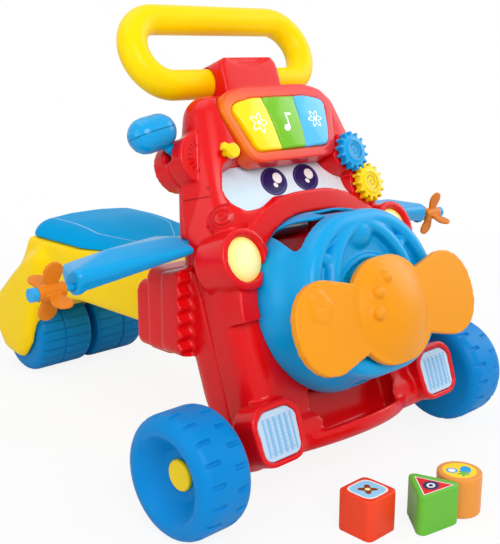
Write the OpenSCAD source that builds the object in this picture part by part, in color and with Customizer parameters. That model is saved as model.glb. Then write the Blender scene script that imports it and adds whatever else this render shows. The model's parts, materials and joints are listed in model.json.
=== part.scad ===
// Ride-on aeroplane toy: leaning front casing, sorter nose, wings, saddle body and rollers

/* [Stance] */
// Radius of the front wheels
wheel_r = 56; // [54:0.5:58]
// Width of a front wheel
wheel_w = 56; // [52:0.5:60]
// Half the distance between the middles of the front wheels
track_half = 193; // [191:0.5:198]
// Distance from the front axle to the rear axle
wheelbase = 467; // [464:0.5:474]
// Radius of the rear rollers
roller_r = 47; // [45:0.5:48]
// Lean of the front casing from upright, degrees
lean = 20; // [19.5:0.1:20.5]

/* [Nose] */
// Radius of the rounded ends of the sorter nose
drum_r = 88; // [86:0.5:90]
// Depth of the sorter nose in front of the casing
drum_depth = 64; // [62:0.5:65]
// Wall of the sorter nose
drum_wall = 3.5; // [3:0.1:4]
// Reach of a propeller blade tip from the shaft
blade_reach = 128; // [124:1:130]
// Thickness of the propeller blades
blade_t = 8; // [6:0.5:9]

/* [Controls] */
// Teeth on each toy gear
gear_teeth = 14; // [14]
// Pitch radius of each toy gear
gear_pitch_r = 18.85; // [18.6:0.05:19.2]
// Radius of the lever boss
boss_r = 25; // [24:0.25:25.5]
// Travel of a key when pressed
key_travel = 2.5; // [1.5:0.25:3]

/* [Handle and seat] */
// Radius of the grip tube
grip_r = 15; // [14:0.25:15.5]
// Half the height of the handle loop
loop_r = 35.5; // [34:0.5:37]
// Half the length of the straight handle bars
bar_half = 78; // [74:1:82]
// Half the width of the rear body
body_half = 82; // [80:0.5:83]

/* [Blocks] */
// Edge of the square block
cube_edge = 38; // [36:0.5:39]
// Distance between the rounded corners of the triangular block
triangle_side = 44; // [42:0.5:45]
// Radius of the round block
round_r = 20.5; // [19:0.25:21]

/* [Fits] */
// Radial clearance of a running shaft
fit = 0.06; // [0.03:0.01:0.09]
// Clear gap between parts that must not touch
gap = 0.4; // [0.35:0.05:0.6]

/* [Hidden] */
$fn = 64;
square_angle = 90;
half_turn = 180;
full_turn = 360;
arc_steps = 5;
hull_sides = 28;
half_share = 0.5;
overrun = 1;
far = 400;

// Casing frame: across, up the face and out of the face
face_y = 3.6;
face_z = 152.2;
seam_w = -45;
axle_r = 5;
axle_v = -(face_y) * sin(lean) - (face_z - wheel_r) * cos(lean);
axle_w = face_y * cos(lean) - (face_z - wheel_r) * sin(lean);
axle_boss_r = 14;
axle_boss_end = track_half - wheel_w / 2 - 2 * gap - overrun;
low_half = 123;
low_depth = 88;
low_round = [24, 24, 22, 22];
low_side = [[-109, 0], [75, 0], [75, -64], [8, -88], [-44, -80], [-109, -50]];
low_side_round = [10, 0, 0, 20, 20, 14];
high_pts = [[92, 60, -25.5, 24], [88, 150, -26, 24], [74, 214, -32, 24],
    [106, 60, -46, 18], [106, 110, -46, 18], [98, 150, -42, 18], [78, 216, -34, 18]];
cheek_high = [114, -20, 24, 114];
cheek_low = [52, -20, 24, 124];
bumper_room = 13;
bumper_bar = [-88, -20, 24, track_half - wheel_w / 2 - bumper_room];

// Nose seat, chute and catch tray
oval_half = 13;
drum_v = 20;
cowl_r = 110;
cowl_front = 7;
cowl_back = -30;
chute_depth = 36;
apron_r = 146;
apron_front = 21;
apron_low = -112;
apron_high = -95;
apron_half = 74;
apron_round = 15;
apron_wall = 8;
tray_half = 62;
tray_low = -103;
tray_high = -56;
tray_back = -20;
tray_round = 10;

// Windscreen panel
screen_v = 150;
screen_w = -17;
screen_tilt = 26.5;
screen_t = 3;
screen_half = [[40, -24], [62, -34], [88, -37], [100, -12], [92, 9], [68, 17], [30, 18]];
screen_round = [10, 9, 16, 18, 8, 8, 6];

// Key console
console_v = 198;
console_w = -7;
console_tilt = -7;
console_half = [[59, -36], [82, 32], [44, 43]];
console_round = [15, 20, 60];
console_t = 20;
console_front = 4;
key_bed = -9;
key_low_half = 49;
key_top_half = 68;
key_low = -25;
key_top = 23;
key_crown_half = 36;
key_crown = 29;
key_round = [9, 10, 40, 40, 10, 9];
key_front = 6;
key_split_share = 1 / 3;

// Side lamps and headlights
lamp_v = 76;
lamp_r = 21;
lamp_room = 0.85;
lamp_reach = drum_r + lamp_r + lamp_room;
lamp_u = oval_half + sqrt(lamp_reach * lamp_reach - (lamp_v - drum_v) * (lamp_v - drum_v));
bezel_r = 28.5;
bezel_front = 14;
lamp_seat = 6;
lamp_dome_r = 46;
light_inset = 75;
light_u = track_half - light_inset;
light_v = -81;
light_half = [[22, -22], [24, 14], [14, 22]];
light_ring = 8;
light_front = 14;
light_seat = 8;
light_round = 9;
light_rib_w = 2.4;
light_rib_h = 1.2;
light_rib_pitch = 7;
light_rib_count = 5;

// Drum face
shoulder_w = 16;
shoulder_round = 60;
crest_r = 71;
crest_round = 10;
lip_round = 5;
rim_inner = 59;
rim_step = 10;
inner_round = 9;
drum_face_w = drum_depth - rim_step;
ring_r = 54;
ring_wall = 5;
ring_h = 3;
hub_r = 15;
rivet_u = 51;
rivet_v = 56;
rivet_r = 7;
tab_r = 24;
tab_v = 78;
tab_sink = 14;
hole_angle = 38;
hole_w = 29;
hole_play = 1.5;
drop_half = 30;

// Propeller
shaft_r = 4;
blade_stand = 3;
blade_back = drum_depth + blade_stand;
blade_root_half = 30;
blade_neck = 42;
blade_neck_half = 31;
blade_wide = 44;
blade_wide_half = 42;
blade_rounds = [0, 0, 30, 38, 38, 30, 0, 0];
centre_r = 50.5;
centre_half = 6;
dome_r = 93;
dome_h = 14;
bump_r = 6;
bump_ring = 32.5;
bump_angles = [110, 145, 180];
bump_rise = sqrt(dome_r * dome_r - bump_ring * bump_ring) + dome_h - dome_r;
collar_r = 8;
collar_t = 5;
petal_r = 6;
petal_ring = 8;
petal_count = 5;
flower_u = -95;
flower_v = 19;
relief = 1.2;

// Lever, gears and ignition key
boss_u = 100;
boss_v = 178;
boss_front = -22;
boss_back = -66;
lever_t = 12;
lever_hub_r = 16;
lever_angle = 137;
lever_sweep = 30;
knob_reach = 46;
knob_long = 25;
knob_r = 17;
knob_tilt = 190;
stalk_r = 5;
lever_pin_r = 4;
gear_u = [74, 88];
gear_v = [162, 127.4];
gear_w = 4;
gear_t = 9;
gear_root_r = 16.2;
tooth_r = 1.75;
tooth_neck_share = 0.9;
neck_round = 0.6;
tip_round = 1.5;
gear_pin_r = 4;
gear_pin_len = 20;
gear_mount_r = 21;
mount_back = -30;
mount_front = 3;
gear_disc_r = 12;
swirl_r = 8;
turnkey_u = -86;
turnkey_v = 176;
turnkey_w = 1;
turnkey_r = 7;
turnkey_t = 7;
turnkey_tip = 12;
turnkey_angle = 150;
turnkey_patch_r = 19;
turnkey_pin_r = 3;

// Handle and its clamp
handle_v = 260;
handle_w = -62;
handle_tilt = -8;
clamp_half = 39;
clamp_low = 233;
clamp_top = 279;
clamp_front = -32;
clamp_back = -81;
clamp_round = 12;
smile_r = 60;
smile_depth = 3;

// Wheels
tyre_round = 13;
dish_outer = 40;
dish_inner = 22;
dish_depth = 20;
cap_r = 14.4;
cap_t = 4;
cap_round = 2;
tread_count = 18;
tread_len = 18;
tread_width = 4;
tread_depth = 2.5;
tread_row = 15;
roller_gap = 5;
roller_round = 11;
groove_w = 3;
groove_depth = 2;
line_count = 24;
line_width = 1.6;
line_depth = 1.2;
rear_axle_r = 5;

// Rear body and seat
boom_front = 94;
boom_low = 119;
boom_top = 181;
boom_knee = 130;
deck_z = 184;
hood_r = 55;
wheel_clear = 3;
fender_t = 13;
fender_pts = [[-59, 158], [-29, 146], [-9, 128], [15, 106], [44, 84], [41, 58], [25, 36], [-5, 32],
    [-21, 50], [-27, 78]];
tail_pts = [[-14, 184], [8, 134], [29, 104], [3, 60], [-53, 96], [-87, 114], [-137, 119]];
side_profile = concat([[boom_front, boom_low], [boom_front, boom_top], [boom_knee, deck_z]],
    [for (p = tail_pts) [wheelbase + p[0], p[1]]]);
side_round = [0, 6, 60, 12, 26, 16, 4, 40, 30, 60];
seat_pts = [[6, -239, 176, 16], [30, -207, 178, 24], [54, -137, 182, 26], [20, -147, 185, 27],
    [52, -47, 182, 28], [20, -42, 184, 28]];
pod_slabs = [[140, 74, 28, 126, 214], [136, 102, 26, 122, 206], [130, 128, 25, 120, 188]];
pod_round = 11;
fin_count = 7;
fin_pitch = 10.5;
fin_cut = 4;
fin_deep = 8;
fin_run = 12;

// Wings and paddles
wing_root = high_pts[3][0] + high_pts[3][3] + gap;
wing_top = [[131, 68, 231, 4], [131, 92, 233, 8], [131, 118, 232, 5], [200, 98, 230, 8], [248, 84, 211, 4],
    [240, 84, 221, 9], [232, 116, 222, 5]];
wing_under = [[135, 76, 219, 5], [135, 94, 222, 7], [135, 112, 222, 4], [200, 98, 217, 7], [240, 88, 202, 5],
    [234, 88, 208, 7], [226, 110, 212, 4]];
paddle_x = 268;
paddle_y = 86;
paddle_z = 214;
paddle_half = 13;
paddle_hub_r = 7;
paddle_reach = 28;
paddle_wide = 13;
paddle_tip_r = 9;
paddle_room = 2;
paddle_t = 3;
paddle_turn = 18;
paddle_blades = 4;
paddle_pin_r = 3;
paddle_cap_r = 6;
paddle_cap_t = 6;
rib_x = 246;
rib_t = 8;
rib_half = 8;
rib_top = 222;
tab_in = 104;
tab_out = 135;
tab_y = [80, 106];
tab_z = [229, 237];

// Inside pieces and fasteners
cell_r = 7;
cell_len = 50;
cell_pitch = 2 * cell_r + gap;
cell_v = 116;
cell_w = -36;
bay_half = 37;
bay_v_half = 25;
bay_front = cell_w + cell_r + gap;
bay_back = -49;
door_half = 46;
door_v_half = 33;
door_t = 5;
door_back = -56;
board_half = 42;
board_v = [176, 216];
board_w = -38;
board_t = 1.6;
board_room = 8;
speaker_r = 20;
speaker_u = 0;
speaker_v = 190;
speaker_t = 8;
speaker_back = -50;
vent_r = 2;
vent_ring = 11;
vent_count = 8;
screw_r = 2;
screw_head_r = 4;
screw_head_t = 3;
screw_len = 16;
screw_spots = [[84, 40], [84, 140], [56, 222]];
screw_back = -57;
seat_screw_spots = [[30, -167], [30, -67]];
seat_screw_low = 150;
seat_screw_len = 40;

// Loose blocks on the floor
block_h = 38;
block_round = 6;
cube_at = [-79, -105];
triangle_at = [-31.5, -137];
triangle_turn = -10.7;
round_at = [10, -139.5];

// Middle of the whole set along the toy's length
middle_y = (wheelbase + fender_pts[4][0] + fender_t + round_at[1] - round_r) / 2;

// Colours
red = [0.84, 0.09, 0.11];
blue = [0.02, 0.52, 0.86];
yellow = [0.98, 0.84, 0.02];
orange = [0.96, 0.6, 0.1];
pale = [0.8, 0.91, 0.97];
cream = [0.99, 0.93, 0.62];
green = [0.45, 0.75, 0.2];
steel = [0.7, 0.71, 0.73];

// Outline helpers
function unit(v) = v / norm(v);
function turned(v, a) = [v[0] * cos(a) - v[1] * sin(a), v[0] * sin(a) + v[1] * cos(a)];
function corner(a, b, c, r) =
    let (p = unit(a - b), q = unit(c - b), bend = acos(p * q) / 2)
    let (centre = b + unit(p + q) * r / sin(bend), start = b + p * r / tan(bend) - centre)
    let (way = cross(p, q) > 0 ? -1 : 1, sweep = half_turn - 2 * bend)
    r == 0 ? [b] : [for (i = [0:arc_steps]) centre + turned(start, way * sweep * i / arc_steps)];
function radius_at(r, i) = is_list(r) ? r[i] : r;
function rounded(pts, r) =
    let (n = len(pts))
    [for (i = [0:n - 1]) each corner(pts[(i + n - 1) % n], pts[i], pts[(i + 1) % n], radius_at(r, i))];
function mirrored(half) = concat(half, [for (i = [len(half) - 1:-1:0]) [-half[i][0], half[i][1]]]);
function doubled(r) = is_list(r) ? concat(r, [for (i = [len(r) - 1:-1:0]) r[i]]) : r;
function grown(pts, by) = [for (p = pts) p + by * unit(p)];

module plate(pts, r, h) {
    linear_extrude(h) polygon(rounded(pts, r));
}

module both() {
    children();
    mirror([1, 0, 0]) children();
}

module blob(pts) {
    hull() for (p = pts, s = [-1, 1]) translate([s * p[0], p[1], p[2]]) sphere(r = p[3], $fn = hull_sides);
}

module one_blob(pts) {
    hull() for (p = pts) translate([p[0], p[1], p[2]]) sphere(r = p[3], $fn = hull_sides);
}

// A turned profile stretched sideways into an oval
module oval_turn(profile) {
    for (s = [-1, 1]) translate([s * oval_half, 0, 0]) rotate_extrude() polygon(profile);
    rotate([square_angle, 0, square_angle]) translate([0, 0, -oval_half]) linear_extrude(2 * oval_half) {
        polygon(profile);
        mirror([1, 0, 0]) polygon(profile);
    }
}

module oval_plate(r, low, high) {
    oval_turn([[0, low], [r, low], [r, high], [0, high]]);
}

module rod(r, from, to) {
    translate([from, 0, 0]) rotate([0, square_angle, 0]) cylinder(r = r, h = to - from);
}

// Frames
module toy() {
    translate([0, -middle_y, 0]) children();
}

module on_face() {
    toy() translate([0, face_y, face_z]) rotate([square_angle - lean, 0, 0]) children();
}

module on_nose() {
    on_face() translate([0, drum_v, 0]) children();
}

module on_console() {
    on_face() translate([0, console_v, console_w]) rotate([console_tilt, 0, 0]) children();
}

module on_screen() {
    on_face() translate([0, screen_v, screen_w]) rotate([-screen_tilt, 0, 0]) children();
}

module at_axle() {
    toy() translate([0, 0, wheel_r]) children();
}

module at_rear() {
    toy() translate([0, wheelbase, roller_r]) children();
}

module at_boss() {
    on_face() translate([-boss_u, boss_v, (boss_front + boss_back) / 2]) children();
}

module at_gear(i) {
    on_face() translate([gear_u[i], gear_v[i], gear_w]) children();
}

module at_paddle() {
    toy() translate([paddle_x, paddle_y, paddle_z]) children();
}

// Shared casing forms
module casing_low() {
    on_face() intersection() {
        translate([0, far, 0]) rotate([square_angle, 0, 0])
            plate([[-low_half, 0], [low_half, 0], [low_half, -low_depth], [-low_half, -low_depth]],
                low_round, 2 * far);
        translate([far, 0, 0]) rotate([square_angle, 0, square_angle]) mirror([0, 0, 1])
            plate(low_side, low_side_round, 2 * far);
    }
}

module casing_body() {
    casing_low();
    on_face() blob(high_pts);
}

// A bar across the casing with rounded ends: up, out, radius and half length
module round_bar(b) {
    on_face() translate([0, b[0], b[1]]) rotate([0, square_angle, 0]) rotate_extrude()
        polygon(rounded([[0, -b[3]], [b[2], -b[3]], [b[2], b[3]], [0, b[3]]],
            [0, b[2] - overrun, b[2] - overrun, 0]));
}

module ahead_of_seam() {
    on_face() translate([-far, -far, seam_w]) cube([2 * far, 2 * far, far]);
}

module behind_seam() {
    on_face() translate([-far, -far, seam_w - far]) cube([2 * far, 2 * far, far]);
}

module lever_boss() {
    on_face() translate([-boss_u, boss_v, boss_back]) cylinder(r = boss_r, h = boss_front - boss_back);
}

function lever_slot() = concat([turned([-lever_hub_r, 0], lever_angle)],
    [for (a = [-lever_sweep, 0, lever_sweep]) turned([boss_r + knob_r, 0], lever_angle + a)]);

module lever_pocket() {
    at_boss() {
        translate([0, 0, -lever_t / 2 - gap]) cylinder(r = lever_hub_r + gap, h = lever_t + 2 * gap);
        translate([0, 0, -stalk_r - overrun]) linear_extrude(2 * (stalk_r + overrun)) polygon(lever_slot());
        translate([0, 0, -boss_r + 2 * overrun])
            cylinder(r = lever_pin_r + fit, h = 2 * boss_r - 3 * overrun);
    }
}

module wing_slot() {
    both() toy() translate([tab_in - gap, tab_y[0] - gap, tab_z[0] - gap])
        cube([far, tab_y[1] - tab_y[0] + 2 * gap, tab_z[1] - tab_z[0] + 2 * gap]);
}

module screen_cut() {
    on_screen() translate([0, 0, -screen_t])
        plate(grown(mirrored(screen_half), gap), doubled(screen_round), far);
}

module console_cut() {
    on_console() translate([0, 0, console_front - console_t])
        plate(grown(mirrored(console_half), gap), doubled(console_round), far);
}

module board_bay() {
    on_face() translate([-board_half - gap, board_v[0] - gap, board_w - board_room / 2])
        cube([2 * board_half + 2 * gap, board_v[1] - board_v[0] + 2 * gap, board_room]);
}

module speaker_bay() {
    on_face() translate([speaker_u, speaker_v, speaker_back - gap])
        cylinder(r = speaker_r + gap, h = board_w - speaker_back);
}

module battery_bay() {
    on_face() translate([-bay_half, cell_v - bay_v_half, bay_back - overrun])
        cube([2 * bay_half, 2 * bay_v_half, bay_front - bay_back + overrun]);
}

module door_seat() {
    on_face() translate([-door_half - gap, cell_v - door_v_half - gap, door_back - far])
        cube([2 * door_half + 2 * gap, 2 * door_v_half + 2 * gap, far + door_t + gap]);
}

module screw_holes(r, low, high) {
    on_face() both() for (s = screw_spots) translate([s[0], s[1], low]) cylinder(r = r, h = high - low);
}

module boom_socket(slack) {
    toy() translate([-body_half - slack, boom_front - slack, boom_low - slack])
        cube([2 * (body_half + slack), far, deck_z - boom_low + 2 * slack]);
}

// Casing halves
module light_bezel(grow, low, high) {
    on_face() both() translate([light_u, light_v, low])
        plate(grown(mirrored(light_half), grow), light_round + grow, high - low);
}

module cowl() {
    intersection() {
        on_nose() oval_plate(cowl_r, cowl_back, cowl_front);
        on_nose() translate([-far, 0, -far]) cube([2 * far, far, 2 * far]);
    }
}

// A slice of a wide disc with a rounded lower edge: the bow of the apron and the hollow of its tray
module bow(r, low, high, half, edge) {
    on_face() intersection() {
        translate([0, 0, apron_front - apron_r]) rotate([-square_angle, 0, 0]) rotate_extrude()
            polygon(rounded([[0, low], [r, low], [r, high], [0, high]], [0, edge, 0, 0]));
        translate([-half, low - overrun, tray_back]) cube([2 * half, high - low + 2 * overrun, far]);
    }
}

module gear_mounts(slack) {
    for (i = [0, 1]) on_face() translate([gear_u[i], gear_v[i], mount_back - slack])
        cylinder(r = gear_mount_r + slack, h = mount_front - mount_back + 2 * slack);
}

module front_shell() {
    color(red) difference() {
        union() {
            difference() {
                union() {
                    intersection() {
                        casing_body();
                        ahead_of_seam();
                    }
                    for (b = [cheek_high, cheek_low, bumper_bar]) round_bar(b);
                    bow(apron_r, apron_low, apron_high, apron_half, apron_round);
                    cowl();
                    intersection() {
                        lever_boss();
                        ahead_of_seam();
                    }
                }
                screen_cut();
            }
            light_bezel(light_ring, -light_front, light_front);
            on_face() both() translate([lamp_u, lamp_v, -bezel_r])
                cylinder(r = bezel_r, h = bezel_r + bezel_front);
            gear_mounts(0);
            at_axle() rod(axle_boss_r, -axle_boss_end, axle_boss_end);
        }
        console_cut();
        on_nose() oval_plate(drum_r + gap, 0, far);
        on_nose() oval_plate(drum_r - drum_wall - gap, -chute_depth, far);
        bow(apron_r - apron_wall, tray_low, tray_high, tray_half, tray_round);
        light_bezel(gap, light_front - light_seat, far);
        on_face() both() translate([lamp_u, lamp_v, lamp_seat]) cylinder(r = lamp_r + gap, h = far);
        at_axle() rod(axle_r + fit, -far, far);
        for (i = [0, 1]) at_gear(i) translate([0, 0, -gear_pin_len])
            cylinder(r = gear_pin_r + fit, h = gear_pin_len);
        on_face() translate([turnkey_u, turnkey_v, turnkey_w]) cylinder(r = turnkey_patch_r, h = far);
        on_face() translate([turnkey_u, turnkey_v, turnkey_w - turnkey_tip])
            cylinder(r = turnkey_pin_r + fit, h = far);
        lever_pocket();
        wing_slot();
        board_bay();
        speaker_bay();
        battery_bay();
        screw_holes(screw_r + fit, screw_back, screw_back + screw_len + overrun);
        clamp_block(gap);
    }
}

module engine_box(p) {
    toy() translate([body_half, p[1] + p[2], p[3]]) rotate([square_angle, 0, 0])
        plate([[0, 0], [p[0] - body_half, 0], [p[0] - body_half, p[4] - p[3]], [0, p[4] - p[3]]],
            [0, pod_round, pod_round, 0], p[2]);
}

module fins() {
    p = pod_slabs[0];
    toy() for (i = [1:fin_count]) translate([p[0] - fin_deep, p[1] - overrun, p[3] + i * fin_pitch])
        cube([2 * fin_deep, fin_run, fin_cut]);
}

module back_shell() {
    color(red) difference() {
        union() {
            intersection() {
                union() {
                    casing_body();
                    lever_boss();
                }
                behind_seam();
            }
            both() for (p = pod_slabs) engine_box(p);
        }
        both() fins();
        boom_socket(gap);
        lever_pocket();
        wing_slot();
        speaker_bay();
        on_face() for (i = [1:vent_count]) translate([speaker_u, speaker_v, -far])
            rotate([0, 0, i * full_turn / vent_count]) translate([vent_ring, 0, 0])
                cylinder(r = vent_r, h = far);
        battery_bay();
        door_seat();
        screw_holes(screw_r + fit, -far, 0);
        screw_holes(screw_head_r + gap, -far, screw_back + screw_head_t + gap);
        clamp_block(gap);
    }
}

// Key console and keys
module key_console() {
    color(red) difference() {
        on_console() translate([0, 0, console_front - console_t])
            plate(mirrored(console_half), doubled(console_round), console_t);
        on_console() translate([0, 0, key_bed])
            plate(grown(key_field(), gap), key_round, far);
    }
}

function key_field() = mirrored([[key_low_half, key_low], [key_top_half, key_top],
    [key_crown_half, key_crown]]);

module key_wedge(i) {
    low = key_low_half * key_split_share;
    high = key_top_half * key_split_share;
    left_low = (2 * i - 1) * low;
    left_high = (2 * i - 1) * high;
    slit = gap * half_share;
    polygon([[left_low + slit, key_low - overrun], [left_low + 2 * low - slit, key_low - overrun],
        [left_high + 2 * high - slit, key_crown + overrun], [left_high + slit, key_crown + overrun]]);
}

module key(i, tint) {
    color(tint) on_console() translate([0, 0, key_bed + key_travel + gap])
        linear_extrude(key_front - key_bed - key_travel - gap) intersection() {
            polygon(rounded(key_field(), key_round));
            key_wedge(i);
        }
}

module key_yellow() {
    key(-1, yellow);
}

module key_green() {
    key(0, green);
}

module key_blue() {
    key(1, pale);
}

module windscreen() {
    color(pale) difference() {
        on_screen() translate([0, 0, -screen_t])
            plate(mirrored(screen_half), doubled(screen_round), screen_t);
        gear_mounts(gap);
        on_face() translate([gear_u[1], gear_v[1], -far]) cube(2 * far);
    }
}

// Sorter nose
function drum_outer() = rounded([[0, 0], [drum_r, 0], [drum_r, shoulder_w], [crest_r, drum_depth],
    [rim_inner, drum_depth], [rim_inner - overrun, drum_face_w], [0, drum_face_w]],
    [0, 0, shoulder_round, crest_round, lip_round, 0, 0]);
function drum_inner() = rounded([[0, -overrun], [drum_r - drum_wall, -overrun],
    [drum_r - drum_wall, shoulder_w], [crest_r, drum_face_w - drum_wall], [0, drum_face_w - drum_wall]],
    [0, 0, 0, inner_round, 0]);

module sorter_hole(angle) {
    on_nose() rotate([0, 0, angle]) translate([0, 0, hole_w]) rotate([-square_angle, 0, 0])
        linear_extrude(2 * drum_r) children();
}

module nose_drum() {
    color(blue) difference() {
        union() {
            on_nose() difference() {
                oval_turn(drum_outer());
                oval_turn(drum_inner());
            }
            on_face() translate([0, 0, drum_face_w - drum_wall]) difference() {
                cylinder(r = ring_r, h = drum_wall + ring_h);
                translate([0, 0, drum_wall]) cylinder(r = ring_r - ring_wall, h = far);
            }
            on_face() translate([0, 0, drum_face_w - drum_wall - collar_t])
                cylinder(r = hub_r, h = drum_depth - drum_face_w + drum_wall + collar_t);
            on_face() both() translate([rivet_u, rivet_v, drum_face_w]) sphere(r = rivet_r);
            on_face() intersection() {
                translate([0, tab_v, drum_face_w - tab_sink]) sphere(r = tab_r);
                translate([-tab_r, tab_v - 2 * tab_r, drum_face_w - overrun]) cube(2 * tab_r);
            }
        }
        on_face() translate([0, 0, -far]) cylinder(r = shaft_r + fit, h = 2 * far);
        sorter_hole(hole_angle) polygon(rounded(triangle_pts(hole_play), block_round));
        sorter_hole(0) circle(r = round_r + hole_play);
        sorter_hole(-hole_angle) square(cube_edge + 2 * hole_play, center = true);
        on_nose() translate([-drop_half, -2 * drum_r, drum_wall])
            cube([2 * drop_half, 2 * drum_r - rim_inner, drum_face_w - 3 * drum_wall]);
    }
}

function blade_edge() = [[0, blade_root_half], [blade_neck, blade_neck_half],
    [blade_reach - blade_wide, blade_wide_half], [blade_reach, blade_wide_half]];
function blade_half() = concat([for (p = blade_edge()) [p[0], -p[1]]],
    [for (i = [3:-1:0]) blade_edge()[i]]);

module propeller() {
    color(orange) difference() {
        on_face() translate([0, 0, blade_back]) {
            for (s = [0, half_turn]) rotate([0, 0, s])
                plate(blade_half(), blade_rounds, blade_t);
            for (s = [-1, 1]) translate([s * centre_half, 0, 0]) cylinder(r = centre_r, h = blade_t);
            translate([-centre_half, -centre_r, 0]) cube([2 * centre_half, 2 * centre_r, blade_t]);
            translate([0, 0, blade_t]) intersection() {
                translate([0, 0, dome_h - dome_r]) sphere(r = dome_r);
                cylinder(r = centre_r, h = dome_h);
            }
            for (a = bump_angles) rotate([0, 0, a]) translate([bump_ring, 0, blade_t + bump_rise])
                sphere(r = bump_r);
            translate([flower_u, flower_v, blade_t - overrun]) for (i = [1:petal_count])
                rotate([0, 0, i * full_turn / petal_count]) translate([petal_ring, 0, 0])
                    cylinder(r = petal_r, h = relief + overrun);
        }
        on_face() translate([0, 0, blade_back - overrun]) cylinder(r = shaft_r + fit, h = blade_t + overrun);
    }
}

module propeller_shaft() {
    color(steel) on_face() {
        translate([0, 0, drum_face_w - drum_wall - collar_t - gap - collar_t])
            cylinder(r = collar_r, h = collar_t);
        translate([0, 0, drum_face_w - drum_wall - 2 * collar_t - gap])
            cylinder(r = shaft_r, h = blade_back + blade_t - gap - drum_face_w + drum_wall + 2 * collar_t);
    }
}

// Lamps
module side_lamp() {
    color(cream) on_face() translate([lamp_u, lamp_v, lamp_seat]) intersection() {
        cylinder(r = lamp_r, h = far);
        translate([0, 0, bezel_front - lamp_seat + gap - lamp_dome_r]) sphere(r = lamp_dome_r);
    }
}

module side_lamp_left() {
    mirror([1, 0, 0]) side_lamp();
}

module side_lamp_right() {
    side_lamp();
}

module headlight() {
    color(pale) on_face() translate([light_u, light_v, light_front - light_seat]) {
        plate(mirrored(light_half), light_round, light_seat - light_rib_h);
        for (i = [1:light_rib_count])
            translate([(i - (light_rib_count + 1) / 2) * light_rib_pitch - light_rib_w / 2, -light_half[1][1],
                light_seat - light_rib_h - overrun])
                cube([light_rib_w, 2 * light_half[1][1], light_rib_h + overrun]);
    }
}

module headlight_left() {
    mirror([1, 0, 0]) headlight();
}

module headlight_right() {
    headlight();
}

// Wings and their paddles
module wing() {
    color(blue) difference() {
        union() {
            difference() {
                toy() one_blob(wing_top);
                toy() one_blob(wing_under);
                toy() translate([wing_root - far, -far, 0]) cube([far, 2 * far, far]);
            }
            toy() translate([tab_in, tab_y[0], tab_z[0]])
                cube([tab_out - tab_in, tab_y[1] - tab_y[0], tab_z[1] - tab_z[0]]);
            toy() translate([rib_x - rib_t, paddle_y - rib_half, paddle_z])
                cube([rib_t, 2 * rib_half, rib_top - paddle_z]);
            at_paddle() rod(rib_half, rib_x - rib_t - paddle_x, rib_x - paddle_x);
        }
        at_paddle() rod(paddle_pin_r + fit, rib_x - rib_t - overrun - paddle_x, rib_x + overrun - paddle_x);
        at_paddle() rod(paddle_reach + paddle_room, rib_x + gap - paddle_x, far);
    }
}

module wing_left() {
    mirror([1, 0, 0]) wing();
}

module wing_right() {
    wing();
}

module paddle_blade() {
    root = (paddle_hub_r + paddle_pin_r) / 2;
    rotate([0, 0, square_angle]) translate([0, 0, -paddle_t / 2])
        plate([[root, -root], [paddle_reach, -paddle_wide], [paddle_reach, paddle_wide], [root, root]],
            [0, paddle_tip_r, paddle_tip_r, 0], paddle_t);
}

module wing_paddle() {
    color(orange) difference() {
        at_paddle() {
            rod(paddle_hub_r, -paddle_half, paddle_half);
            for (i = [1:paddle_blades]) rotate([i * full_turn / paddle_blades + paddle_turn, 0, 0])
                paddle_blade();
        }
        at_paddle() rod(paddle_pin_r + fit, -far, far);
    }
}

module wing_paddle_left() {
    mirror([1, 0, 0]) wing_paddle();
}

module wing_paddle_right() {
    wing_paddle();
}

module paddle_pin() {
    color(blue) at_paddle() {
        rod(paddle_pin_r, rib_x - rib_t - paddle_x, paddle_half + gap + overrun);
        rod(paddle_cap_r, paddle_half + gap, paddle_half + gap + paddle_cap_t);
    }
}

module paddle_pin_left() {
    mirror([1, 0, 0]) paddle_pin();
}

module paddle_pin_right() {
    paddle_pin();
}

// Lever, gears and ignition key
function egg_profile() = rounded([[0, -knob_long], [knob_r, -knob_long], [knob_r, knob_long], [0, knob_long]],
    [0, knob_r - gap, knob_r - gap, 0]);

module lever() {
    color(blue) difference() {
        at_boss() {
            translate([0, 0, -lever_t / 2]) cylinder(r = lever_hub_r, h = lever_t);
            rotate([0, 0, lever_angle]) rod(stalk_r, 0, knob_reach);
            translate([knob_reach * cos(lever_angle), knob_reach * sin(lever_angle), 0])
                rotate([0, 0, knob_tilt]) rotate([0, square_angle, 0])
                    rotate_extrude() polygon(egg_profile());
        }
        at_boss() translate([0, 0, -far / 2]) cylinder(r = lever_pin_r + fit, h = far);
    }
}

module lever_pin() {
    color(steel) at_boss() translate([0, 0, -boss_r + 2 * overrun + gap])
        cylinder(r = lever_pin_r, h = 2 * boss_r - 3 * overrun - 2 * gap);
}

function tooth() =
    let (tip = gear_pitch_r + tooth_r, neck = tooth_r * tooth_neck_share)
    [[gear_root_r, -neck], [tip, -tooth_r], [tip, tooth_r], [gear_root_r, neck]];
function gear_outline(phase) =
    [for (i = [1:gear_teeth], p = tooth()) turned(p, phase + i * full_turn / gear_teeth)];
function tooth_rounds() = [for (i = [1:gear_teeth]) each [neck_round, tip_round, tip_round, neck_round]];

module gear(phase) {
    difference() {
        union() {
            plate(gear_outline(phase), tooth_rounds(), gear_t);
            translate([0, 0, gear_t - overrun]) difference() {
                cylinder(r = gear_disc_r, h = 2 * overrun);
                cylinder(r = swirl_r, h = far);
            }
        }
        translate([0, 0, -overrun]) cylinder(r = gear_pin_r + fit, h = gear_t + overrun - relief);
    }
}

gear_line = atan2(gear_v[1] - gear_v[0], gear_u[1] - gear_u[0]);

module gear_blue() {
    color(blue) at_gear(0) gear(gear_line);
}

module gear_yellow() {
    color(yellow) at_gear(1) gear(gear_line + half_turn + half_turn / gear_teeth);
}

module gear_pins() {
    color(red) for (i = [0, 1]) at_gear(i) translate([0, 0, gap - gear_pin_len])
        cylinder(r = gear_pin_r, h = gear_pin_len + gear_t - relief - 2 * gap);
}

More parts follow.
